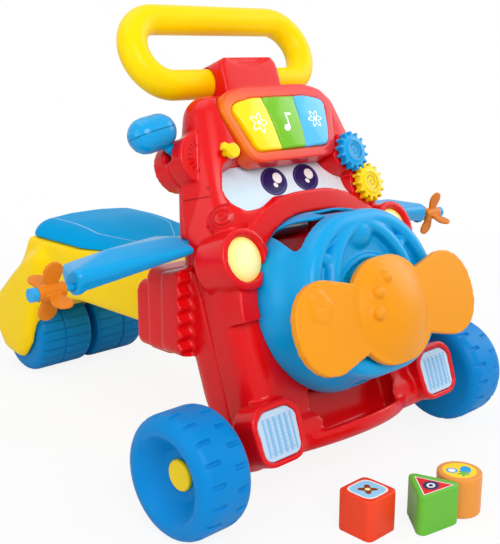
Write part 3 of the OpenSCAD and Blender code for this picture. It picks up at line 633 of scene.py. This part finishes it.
def round_sticker(finish, base):
    """An oval, a flower and a ring on a yellow round."""
    colours = toy()[0]
    x, y = block_place(finish, "block_round")
    hoop = (-5.0, 5.0)
    field = finish.mix(disc(x, y, (5.0, -3.0), (7.5, 5.0), 35.0, 0.1), colours.yellow, colours.blue)
    leaf = filled(petals(x, y, (-3.0, -6.0), size=4.4, wave=1.6, count=5.0))
    field = finish.mix(leaf, field, colours.block_green)
    field = finish.mix(dot(x, y, hoop, 5.2, 0.15), field, colours.blue)
    field = finish.mix(dot(x, y, hoop, 3.4, 0.2), field, colours.paper)
    return finish.mix(dot(x, y, (0.0, 0.0), 15.5, 0.04) * on_top(finish), base, field)


def seat_line(finish, base):
    """A pale line inset from the edge of the seat, narrower towards the front."""
    half_width = 54.0
    half_length = 96.0
    tip = 8.0
    taper = 0.575
    waist = 77.0
    power = 6.0
    middle = Vector((0.0, 368.0 - MIDDLE_Y, 0.0)) * MM
    x, y = finish.along(middle, X_WAY), finish.along(middle, Y_WAY)
    half = (y * taper + waist).lower(half_width).higher(tip)
    far = ((x / half) ** power + (y / half_length) ** power) ** (1.0 / power)
    line = ring((1.0 - far) * half_width, 0.6) * on_top(finish)
    return finish.mix(line * 0.4, base, toy()[0].paper)


# Grooves, in millimetres of the leaning face; the lean of the knob is the sine and cosine of ten degrees
CHEEK_START = 98.0
CHEEK_SWIRL = (-6.0, 119.0)
CHEEK_DOTS = ((4.0, 132.0), (-18.0, 107.0), (-21.0, 113.0), (-14.5, 147.5))
SEAM_HEIGHT = 138.1
SEAM_FALL = 0.12
SEAM_FRONT = -13.0
SEAM_BACK = -43.0
LEVER_MIDDLE = (-100.0, 178.0)
BOSS_FRONT = -20.0
BOSS_BACK = -23.0
KNOB_MIDDLE = (-133.6, 209.4)
KNOB_LEAN = (0.174, 0.985)
KNOB_BOTTOM = 196.0
GEAR_FRONT = 10.0
GEAR_MIDDLES = ((74.0, 162.0), (88.0, 127.4))
ROLLER_AXLE = (0.0, 467.0 - MIDDLE_Y, 47.0)


def casing_grooves(finish):
    """A swirl, dots and a seam on each cheek, and tick marks round the lever."""
    across, up, out = face_place(finish)
    on_cheek = ((abs(across) - CHEEK_START) / 2.0).clamped()
    marks = swirl(out - CHEEK_SWIRL[0], up - CHEEK_SWIRL[1], pitch=4.4, radius=12.0)
    for place in CHEEK_DOTS:
        marks = marks.higher(dot(out, up, place, 1.5, 0.4))
    seam = ring(up + out * SEAM_FALL - SEAM_HEIGHT, 0.5)
    seam = seam * (SEAM_FRONT - out).clamped() * (out - SEAM_BACK).clamped()
    return (marks.higher(seam) * on_cheek).higher(lever_ticks(across, up, out))


def lever_ticks(across, up, out):
    """Short radial marks on the boss that carries the lever."""
    count = 20.0
    radius = 14.0
    half_length = 2.5
    inner_side = 2.0
    x, y = across - LEVER_MIDDLE[0], up - LEVER_MIDDLE[1]
    turns = (y.angle_to(x) * count).cosine()
    marks = ((turns - 0.5) / 0.3).clamped() * ring(reach(x, y) - radius, half_length)
    on_boss = (out - BOSS_BACK).clamped() * (BOSS_FRONT - out).clamped()
    return marks * (inner_side - x).clamped() * on_boss


def roller_lines(finish):
    """Lines along a rear roller, all round it."""
    count = 24.0
    line_start = 0.95
    line_soft = 0.03
    axle = Vector(ROLLER_AXLE) * MM
    y, z = finish.along(axle, Y_WAY), finish.along(axle, Z_WAY)
    turns = (z.angle_to(y) * count).cosine()
    on_tread = ((0.75 - abs(finish.facing(X_WAY))) * 8.0).clamped()
    return ((turns - line_start) / line_soft).clamped() * on_tread


def gear_swirl(finish):
    """A spiral on the face of each gear."""
    across, up, out = face_place(finish)
    marks = 0.0
    for middle in GEAR_MIDDLES:
        marks = swirl(across - middle[0], up - middle[1], pitch=4.6, radius=10.5) + marks
    return marks * (out - GEAR_FRONT).clamped()


def knob_seam(finish):
    """The line where the halves of the lever's egg meet."""
    across, up, _ = face_place(finish)
    x, y = across - KNOB_MIDDLE[0], up - KNOB_MIDDLE[1]
    line = ring(x * KNOB_LEAN[0] - y * KNOB_LEAN[1], 0.4)
    return line * (up - KNOB_BOTTOM).clamped()


# Pieces
ZONE_PASSES = 60


def copied(node, name):
    """A new object over a copy of a CAD node's mesh."""
    piece = bpy.data.objects.new(name, NODES[node].data.copy())
    bpy.context.collection.objects.link(piece)
    return piece


def settled(piece):
    """Turns a piece's modifiers into its mesh."""
    ready = piece.evaluated_get(bpy.context.evaluated_depsgraph_get())
    mesh = bpy.data.meshes.new_from_object(ready)
    piece.modifiers.clear()
    piece.data = mesh


def joined_box(piece, low, high):
    """Adds a box to a piece's mesh, for its skin to take in."""
    mesh = bmesh.new()
    mesh.from_mesh(piece.data)
    place = Matrix.Translation((low + high) / 2.0) @ Matrix.Diagonal((high - low).to_4d())
    bmesh.ops.create_cube(mesh, size=1.0, matrix=place)
    mesh.to_mesh(piece.data)
    mesh.free()


def soften_zone(piece, zone):
    """Smooths a piece further where a zone's weight is above nothing."""
    group = piece.vertex_groups.new(name="zone")
    for point in piece.data.vertices:
        weight = zone(point.co)
        if weight > 0.0:
            group.add([point.index], weight, "REPLACE")
    soften = piece.modifiers.new("soften zone", "SMOOTH")
    soften.vertex_group = group.name
    soften.factor = 0.5
    soften.iterations = ZONE_PASSES


def without_strays(piece):
    """Removes faces that the thinning left with at most one neighbour."""
    mesh = bmesh.new()
    mesh.from_mesh(piece.data)
    strays = []
    for face in mesh.faces:
        others = {other for edge in face.edges for other in edge.link_faces if other is not face}
        if len(others) < 2:
            strays.append(face)
    bmesh.ops.delete(mesh, geom=strays, context="FACES")
    mesh.to_mesh(piece.data)
    mesh.free()


def moulded(node, skin, passes, keep=0.5, shape=None, boxes=(), zone=None):
    """A CAD solid with the soft edges that a mould gives it, in its place."""
    piece = copied(node, node + "_moulding")
    for low, high in boxes:
        joined_box(piece, low, high)
    remesh = piece.modifiers.new("skin", "REMESH")
    remesh.mode = "VOXEL"
    remesh.voxel_size = skin
    settled(piece)
    if shape:
        for point in piece.data.vertices:
            point.co = shape(point.co)
    if zone:
        soften_zone(piece, zone)
    soften = piece.modifiers.new("soften", "SMOOTH")
    soften.factor = 0.5
    soften.iterations = passes
    thin = piece.modifiers.new("thin", "DECIMATE")
    thin.ratio = keep
    settled(piece)
    without_strays(piece)
    piece.vertex_groups.clear()
    piece.data.materials.clear()
    piece.data.shade_smooth()
    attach(piece, BODY_OF[node])
    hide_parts(node)
    return piece


def dressed(node, finish):
    """Gives a CAD node whose own shape shows its finish."""
    mesh = NODES[node].data
    if not mesh.materials:
        mesh.materials.append(finish)
    for place in NODES[node].material_slots:
        place.material = finish


def mould_all(nodes, finish, skin, passes, keep=0.5, **more):
    """Moulds nodes alike, in one finish."""
    for node in nodes:
        moulded(node, skin, passes, keep, **more).data.materials.append(finish)


# Shapes that the mould adds to a solid, in metres, but key middles and slot corners in millimetres
KEY_MIDDLES = {"yellow": -40.0, "green": 0.0, "blue": 40.0}
KEY_HALF = (0.026, 0.032)
KEY_CLEARANCE = 0.0008

# Engine boxes: the slots that are closed, the waves down the front and the fall of the top
SLOT_LOW = (131.0, -107.9, 136.0)
SLOT_HIGH = (139.8, -95.5, 204.0)
WAVE_SIDE = 0.119
WAVE_BOTTOM = 0.128
WAVE_TOP = 0.211
WAVE_FRONT = -0.110
WAVE_BACK = -0.094
WAVE_PITCH = 0.0135
WAVE_DEPTH = 0.005
FALL_SIDE = 0.100
FALL_BOTTOM = 0.204
FALL_TOP = 0.2165
FALL_FULL = 0.010
FALL_FRONT = -0.108
FALL_BACK = -0.077
FALL_SLOPE = 0.28

# Catch tray: where the weight of its ends rises or falls, across, up and to the back
TRAY_INNER = (0.036, 0.046)
TRAY_OUTER = (0.068, 0.078)
TRAY_LOWER = (0.050, 0.058)
TRAY_UPPER = (0.086, 0.098)
TRAY_BACK = (-0.190, -0.178)

# Nose, seat and saddle body
NOSE_FLARE = 0.05
NOSE_DEPTHS = (0.030, 0.060)
SEAT_DECK = 0.184
SEAT_KEEP = 0.2
SEAT_RISE = 0.62
SEAT_RUN = (0.060, 0.200)
BODY_PULL = 0.012
BODY_HEIGHTS = (0.120, 0.180)
BODY_RUN = (0.235, 0.285)


def ease(value, low, high):
    """0 below a range and 1 above it, rising smoothly between."""
    step = min(1.0, max(0.0, (value - low) / (high - low)))
    return step * step * (3.0 - 2.0 * step)


def crowned(middle, rise):
    """Swells a key towards its middle, and keeps its back clear of the console."""
    across, up, out = tilted(CONSOLE_ANGLE)
    origin = face_point(*CONSOLE_PLACE) + across * middle * MM

    def shape(place):
        away = place - origin
        far = (away.dot(across) / KEY_HALF[0]) ** 2 + (away.dot(up) / KEY_HALF[1]) ** 2
        lift = rise * max(0.0, 1.0 - far) if away.dot(out) > 0.0 else KEY_CLEARANCE
        return place + out * lift

    return shape


def tray_edges(place):
    """Weight of the ends of the catch tray, for a rounder mould."""
    across = abs(place.x)
    sides = ease(across, *TRAY_INNER) * (1.0 - ease(across, *TRAY_OUTER))
    heights = ease(place.z, *TRAY_LOWER) * (1.0 - ease(place.z, *TRAY_UPPER))
    front = 1.0 - ease(place.y, *TRAY_BACK)
    return sides * heights * front


def flared(place):
    """Widens the nose a little towards its front, round its own middle."""
    out = tilted(FACE_ANGLE)[2]
    away = place - face_point(*NOSE_PLACE)
    depth = away.dot(out)
    return place + (away - out * depth) * NOSE_FLARE * ease(depth, *NOSE_DEPTHS)


def fin_boxes():
    """The boxes that close the CAD's fin slots, before the waves are made."""
    low = Vector(SLOT_LOW) * MM
    high = Vector(SLOT_HIGH) * MM
    mirror = Vector((-1.0, 1.0, 1.0))
    return [(low, high), (low * mirror, high * mirror)]


def on_fins(place):
    """Whether a point is on the wavy front of an engine box."""
    inside = WAVE_BOTTOM < place.z < WAVE_TOP and WAVE_FRONT < place.y < WAVE_BACK
    return inside and abs(place.x) > WAVE_SIDE


def on_box_top(place):
    """Whether a point is on the upper face of an engine box."""
    inside = FALL_BOTTOM < place.z < FALL_TOP and FALL_FRONT < place.y < FALL_BACK
    return inside and abs(place.x) > FALL_SIDE


def finned(place):
    """Waves down the front of each engine box, whose top falls away to the back."""
    back, fall = 0.0, 0.0
    if on_fins(place):
        wave = 0.5 + 0.5 * math.cos(math.tau * (place.z - WAVE_BOTTOM) / WAVE_PITCH)
        back = WAVE_DEPTH * wave * (WAVE_BACK - place.y) / (WAVE_BACK - WAVE_FRONT)
    if on_box_top(place):
        rise = min(1.0, (place.z - FALL_BOTTOM) / FALL_FULL)
        fall = FALL_SLOPE * (place.y - FALL_FRONT) * rise
    return place + Vector((0.0, back, -fall))


def sloped(place):
    """Lowers the seat towards its front, where it runs out on the body."""
    keep = SEAT_KEEP + SEAT_RISE * ease(place.y, *SEAT_RUN)
    height = SEAT_DECK + (place.z - SEAT_DECK) * keep
    return Vector((place.x, place.y, height))


def drawn_in(place):
    """Rounds the body forwards under the back of the seat."""
    pull = BODY_PULL * ease(place.z, *BODY_HEIGHTS) * ease(place.y, *BODY_RUN)
    return place - Vector((0.0, pull, 0.0))


class TOY_OT_casing(bpy.types.Operator):
    """Dresses the two halves of the red casing and the clamp of the handle"""

    bl_idname = "toy.casing"
    bl_label = "Casing"

    def execute(self, context):
        colours, sizes, _ = toy()
        red = plastic("casing_red", colours.red, rough=0.24, grooves=casing_grooves)
        mould_all(["front_shell"], red, sizes.middle_skin, passes=12, keep=0.3, zone=tray_edges)
        mould_all(["back_shell"], red, sizes.large_skin, passes=5, shape=finned, boxes=fin_boxes())
        mould_all(["handle_clamp"], red, sizes.middle_skin, passes=18)
        for node in ("battery_door", "gear_pins"):
            dressed(node, red)
        return {"FINISHED"}


class TOY_OT_keys(bpy.types.Operator):
    """Dresses the lit console and its three keys"""

    bl_idname = "toy.keys"
    bl_label = "Keys"

    def execute(self, context):
        colours, sizes, _ = toy()
        lit = plastic("console_lit", colours.red, rough=0.2, coat=0.15, print_on=console_glow, glow=0.06)
        mould_all(["key_console"], lit, sizes.middle_skin, passes=8)
        pictures = {"yellow": blossom_print, "green": note_print, "blue": flower_print}
        for name, picture in pictures.items():
            key = "key_" + name
            tint = getattr(colours, key)
            finish = plastic(key + "_lit", tint, rough=0.18, coat=0.2, print_on=picture, glow=0.16)
            swell = crowned(KEY_MIDDLES[name], sizes.crown)
            mould_all([key], finish, sizes.small_skin, passes=16, shape=swell)
        return {"FINISHED"}


class TOY_OT_windscreen(bpy.types.Operator):
    """Prints the eyes on the windscreen"""

    bl_idname = "toy.windscreen"
    bl_label = "Windscreen"

    def execute(self, context):
        pale = plastic("windscreen_print", toy()[0].pale, rough=0.22, print_on=eyes)
        dressed("windscreen", pale)
        return {"FINISHED"}


class TOY_OT_nose(bpy.types.Operator):
    """Dresses the sorter nose and its propeller"""

    bl_idname = "toy.nose"
    bl_label = "Nose"

    def execute(self, context):
        colours, sizes, _ = toy()
        blue = plastic("nose_blue", colours.blue, rough=0.32, coat=0.05)
        orange = plastic("blade_orange", colours.orange, rough=0.36, coat=0.0)
        mould_all(["nose_drum"], blue, sizes.middle_skin, passes=4, shape=flared)
        mould_all(["propeller"], orange, sizes.middle_skin, passes=3)
        dressed("propeller_shaft", metal("shaft_steel", colours.steel))
        return {"FINISHED"}


class TOY_OT_lamps(bpy.types.Operator):
    """Dresses the side lamps and the ribbed headlights"""

    bl_idname = "toy.lamps"
    bl_label = "Lamps"

    def execute(self, context):
        colours, sizes, _ = toy()
        cream = plastic("lamp_cream", colours.cream, rough=0.16, coat=0.15, print_on=lamp_print, glow=0.2)
        lens = plastic("headlight_lens", colours.lens, rough=0.18, print_on=lens_print)
        mould_all(["side_lamp_left", "side_lamp_right"], cream, sizes.small_skin, passes=6)
        mould_all(["headlight_left", "headlight_right"], lens, sizes.small_skin, passes=1)
        return {"FINISHED"}


class TOY_OT_wings(bpy.types.Operator):
    """Dresses the wings, their paddles and the pins they turn on"""

    bl_idname = "toy.wings"
    bl_label = "Wings"

    def execute(self, context):
        colours, sizes, _ = toy()
        blue = plastic("wing_blue", colours.blue, rough=0.3, coat=0.05)
        # The paddles take a copy of the blade orange made darker as painted shade.
        orange = plastic("paddle_orange", colours.paddle_orange, rough=0.36, coat=0.0)
        mould_all(["wing_left", "wing_right"], blue, sizes.middle_skin, passes=10)
        mould_all(["wing_paddle_left", "wing_paddle_right"], orange, sizes.small_skin, passes=5)
        for node in ("paddle_pin_left", "paddle_pin_right"):
            dressed(node, blue)
        return {"FINISHED"}


class TOY_OT_controls(bpy.types.Operator):
    """Dresses the lever, the gears and the ignition key"""

    bl_idname = "toy.controls"
    bl_label = "Controls"

    def execute(self, context):
        colours, sizes, _ = toy()
        blue = plastic("control_blue", colours.blue, rough=0.24, grooves=gear_swirl)
        yellow = plastic("control_yellow", colours.yellow, rough=0.26, grooves=gear_swirl)
        knob = plastic("knob_blue", colours.blue, rough=0.22, coat=0.15, grooves=knob_seam)
        mould_all(["lever"], knob, sizes.small_skin, passes=4)
        mould_all(["gear_blue"], blue, sizes.small_skin, passes=7)
        mould_all(["gear_yellow", "ignition_key"], yellow, sizes.small_skin, passes=7)
        dressed("lever_pin", metal("pin_steel", colours.steel))
        return {"FINISHED"}


class TOY_OT_handle(bpy.types.Operator):
    """Dresses the loop handle"""

    bl_idname = "toy.handle"
    bl_label = "Handle"

    def execute(self, context):
        colours, sizes, _ = toy()
        yellow = plastic("handle_yellow", colours.yellow, rough=0.3, coat=0.0, shine=0.12)
        mould_all(["handle"], yellow, sizes.middle_skin, passes=6)
        return {"FINISHED"}


class TOY_OT_wheels(bpy.types.Operator):
    """Dresses the wheels, hub caps, rollers and axles"""

    bl_idname = "toy.wheels"
    bl_label = "Wheels"

    def execute(self, context):
        colours, sizes, _ = toy()
        tread = {"rough": 0.4, "coat": 0.0, "grain": 420.0, "shine": 0.12}
        blue = plastic("wheel_blue", colours.wheel_blue, **tread)
        yellow = plastic("cap_yellow", colours.yellow, rough=0.26, coat=0.05)
        steel = metal("axle_steel", colours.steel)
        lined = plastic("roller_blue", colours.wheel_blue, grooves=roller_lines, **tread)
        mould_all(["front_wheel_left", "front_wheel_right"], blue, sizes.tread_skin, passes=1, keep=0.35)
        mould_all(["rear_roller_left", "rear_roller_right"], lined, sizes.tread_skin, passes=1, keep=0.35)
        mould_all(["hub_cap_left", "hub_cap_right"], yellow, sizes.small_skin, passes=6)
        for node in ("front_axle", "rear_axle"):
            dressed(node, steel)
        return {"FINISHED"}


class TOY_OT_saddle(bpy.types.Operator):
    """Dresses the saddle body and its seat"""

    bl_idname = "toy.saddle"
    bl_label = "Saddle"

    def execute(self, context):
        colours, sizes, _ = toy()
        yellow = plastic("body_yellow", colours.yellow, rough=0.3, coat=0.0, shine=0.12)
        blue = plastic("seat_blue", colours.blue, rough=0.4, coat=0.0, print_on=seat_line, shine=0.02)
        mould_all(["rear_body"], yellow, sizes.body_skin, passes=50, shape=drawn_in)
        mould_all(["seat"], blue, sizes.large_skin, passes=20, shape=sloped)
        return {"FINISHED"}


class TOY_OT_inside(bpy.types.Operator):
    """Dresses the batteries, circuit board, speaker and screws"""

    bl_idname = "toy.inside"
    bl_label = "Inside pieces"

    def execute(self, context):
        colours = toy()[0]
        steel = metal("fitting_steel", colours.steel)
        for node in ("batteries", "speaker", "case_screws", "seat_screws"):
            dressed(node, steel)
        dressed("circuit_board", plastic("board_green", colours.board, rough=0.4))
        return {"FINISHED"}


class TOY_OT_blocks(bpy.types.Operator):
    """Dresses the three loose sorter blocks"""

    bl_idname = "toy.blocks"
    bl_label = "Blocks"

    def execute(self, context):
        colours, sizes, _ = toy()
        looks = {
            "square": (colours.block_red, square_sticker),
            "triangle": (colours.block_green, triangle_sticker),
            "round": (colours.block_orange, round_sticker),
        }
        for name, (tint, picture) in looks.items():
            block = "block_" + name
            finish = plastic(block + "_paint", tint, rough=0.32, coat=0.0, print_on=picture)
            mould_all([block], finish, sizes.small_skin, passes=14)
        return {"FINISHED"}


# Stage: the floor fades to white away from the toy, and the camera's places are in millimetres
WHITE = (1.0, 1.0, 1.0, 1.0)
FLOOR_GREY = (0.82, 0.82, 0.82, 1.0)
FLOOR_HALF = 8.0
FLOOR_WHITE = 0.88
FADE_START = 0.45
FADE_RISE = 1.2
LIT_MIDDLE = (0.0, 0.0, 0.2)
CAMERA_PLACE = (-660.08, -563.04 - MIDDLE_Y, 411.12)
CAMERA_TARGET = (0.0, 125.3 - MIDDLE_Y, 178.6)
SENSOR_WIDTH = 36.0


def aimed(item, place, target):
    """Places a lamp or a camera and turns it to a target."""
    item.location = place
    item.rotation_euler = (Vector(target) - Vector(place)).to_track_quat("-Z", "Y").to_euler()
    bpy.context.collection.objects.link(item)


class TOY_OT_stage(bpy.types.Operator):
    """Sets up the pale floor, the soft lights, the white room and the camera"""

    bl_idname = "toy.stage"
    bl_label = "Stage"

    def execute(self, context):
        context.scene.view_settings.view_transform = "Standard"
        self.floor()
        self.room(context)
        self.lights()
        self.camera(context)
        return {"FINISHED"}

    def floor(self):
        """A wide flat floor under the toy."""
        mesh = bpy.data.meshes.new("floor")
        far = FLOOR_HALF
        points = [(-far, -far, 0.0), (far, -far, 0.0), (far, far, 0.0), (-far, far, 0.0)]
        mesh.from_pydata(points, [], [(0, 1, 2, 3)])
        floor = bpy.data.objects.new("floor", mesh)
        bpy.context.collection.objects.link(floor)
        mesh.materials.append(self.floor_paint())

    def floor_paint(self):
        """Paper that the camera sees as nearly white, with some of the toy's shadow."""
        finish = material("floor_paper")
        seen = Number(finish, finish.node("ShaderNodeLightPath").outputs["Is Camera Ray"])
        flat = (1.0, 1.0, 0.0)
        on_floor = finish.node("ShaderNodeVectorMath", {"operation": "MULTIPLY"}, {0: finish.place, 1: flat})
        away = finish.node("ShaderNodeVectorMath", {"operation": "LENGTH"}, {0: on_floor.outputs[0]})
        far = Number(finish, away.outputs["Value"])
        fade = ((far - FADE_START) * FADE_RISE).clamped()
        amount = seen * (FLOOR_WHITE + fade * (1.0 - FLOOR_WHITE))
        paper = finish.node("ShaderNodeBsdfDiffuse", {}, {"Color": FLOOR_GREY})
        white = finish.node("ShaderNodeEmission", {}, {"Color": WHITE, "Strength": 1.0})
        sockets = {0: amount, 1: paper.outputs[0], 2: white.outputs[0]}
        mixed = finish.node("ShaderNodeMixShader", {}, sockets)
        finish.node("ShaderNodeOutputMaterial", {}, {"Surface": mixed.outputs[0]})
        return finish.owner

    def room(self, context):
        """A world that shows white and lights the toy more gently."""
        finish = Finish(bpy.data.worlds.new("white_room"))
        path = finish.node("ShaderNodeLightPath").outputs
        seen = Number(finish, path["Is Camera Ray"]) + Number(finish, path["Is Glossy Ray"])
        shown = (seen + Number(finish, path["Is Transmission Ray"])).clamped()
        lit = finish.node("ShaderNodeBackground", {}, {"Color": WHITE, "Strength": toy()[2].room_light})
        plain = finish.node("ShaderNodeBackground", {}, {"Color": WHITE, "Strength": 1.0})
        mixed = finish.node("ShaderNodeMixShader", {}, {0: shown, 1: lit.outputs[0], 2: plain.outputs[0]})
        finish.node("ShaderNodeOutputWorld", {}, {"Surface": mixed.outputs[0]})
        context.scene.world = finish.owner

    def lights(self):
        """Four soft square lamps."""
        studio = toy()[2]
        places = {
            "key_light": ((-0.9, -1.7, 1.5), 1.1, studio.key_power),
            "fill_light": ((1.7, -0.7, 1.1), 1.3, studio.fill_power),
            "side_light": ((-1.9, 0.1, 0.9), 1.0, studio.side_power),
            "top_light": ((-0.3, 0.5, 2.1), 1.5, studio.top_power),
        }
        for name, (place, size, power) in places.items():
            light = bpy.data.lights.new(name, "AREA")
            light.size = size
            light.energy = power
            aimed(bpy.data.objects.new(name, light), place, LIT_MIDDLE)

    def camera(self, context):
        """The camera at the photograph's angle."""
        data = bpy.data.cameras.new("photo_camera")
        data.lens = toy()[2].lens
        data.sensor_width = SENSOR_WIDTH
        camera = bpy.data.objects.new("photo_camera", data)
        aimed(camera, Vector(CAMERA_PLACE) * MM, Vector(CAMERA_TARGET) * MM)
        context.scene.camera = camera


PIECES = (
    TOY_OT_casing,
    TOY_OT_keys,
    TOY_OT_windscreen,
    TOY_OT_nose,
    TOY_OT_lamps,
    TOY_OT_wings,
    TOY_OT_controls,
    TOY_OT_handle,
    TOY_OT_wheels,
    TOY_OT_saddle,
    TOY_OT_inside,
    TOY_OT_blocks,
    TOY_OT_stage,
)


class TOY_PT_panel(bpy.types.Panel):
    """Lists the toy's pieces and settings"""

    bl_idname = "TOY_PT_panel"
    bl_label = "Aeroplane toy"
    bl_space_type = "VIEW_3D"
    bl_region_type = "UI"
    bl_category = "Toy"

    def draw(self, context):
        for operator in PIECES:
            self.layout.operator(operator.bl_idname)
        for group in toy():
            for name in group.bl_rna.properties.keys():
                if name not in ("rna_type", "name"):
                    self.layout.prop(group, name)


CLASSES = (ToyColours, ToySizes, ToyStudio, *PIECES, TOY_PT_panel)


def register():
    for item in CLASSES:
        bpy.utils.register_class(item)
    bpy.types.Scene.toy_colours = bpy.props.PointerProperty(type=ToyColours)
    bpy.types.Scene.toy_sizes = bpy.props.PointerProperty(type=ToySizes)
    bpy.types.Scene.toy_studio = bpy.props.PointerProperty(type=ToyStudio)


def unregister():
    del bpy.types.Scene.toy_studio
    del bpy.types.Scene.toy_sizes
    del bpy.types.Scene.toy_colours
    for item in reversed(CLASSES):
        bpy.utils.unregister_class(item)


def main():
    register()
    for operator in PIECES:
        group, name = operator.bl_idname.split(".")
        getattr(getattr(bpy.ops, group), name)()


if __name__ == "__main__":
    main()
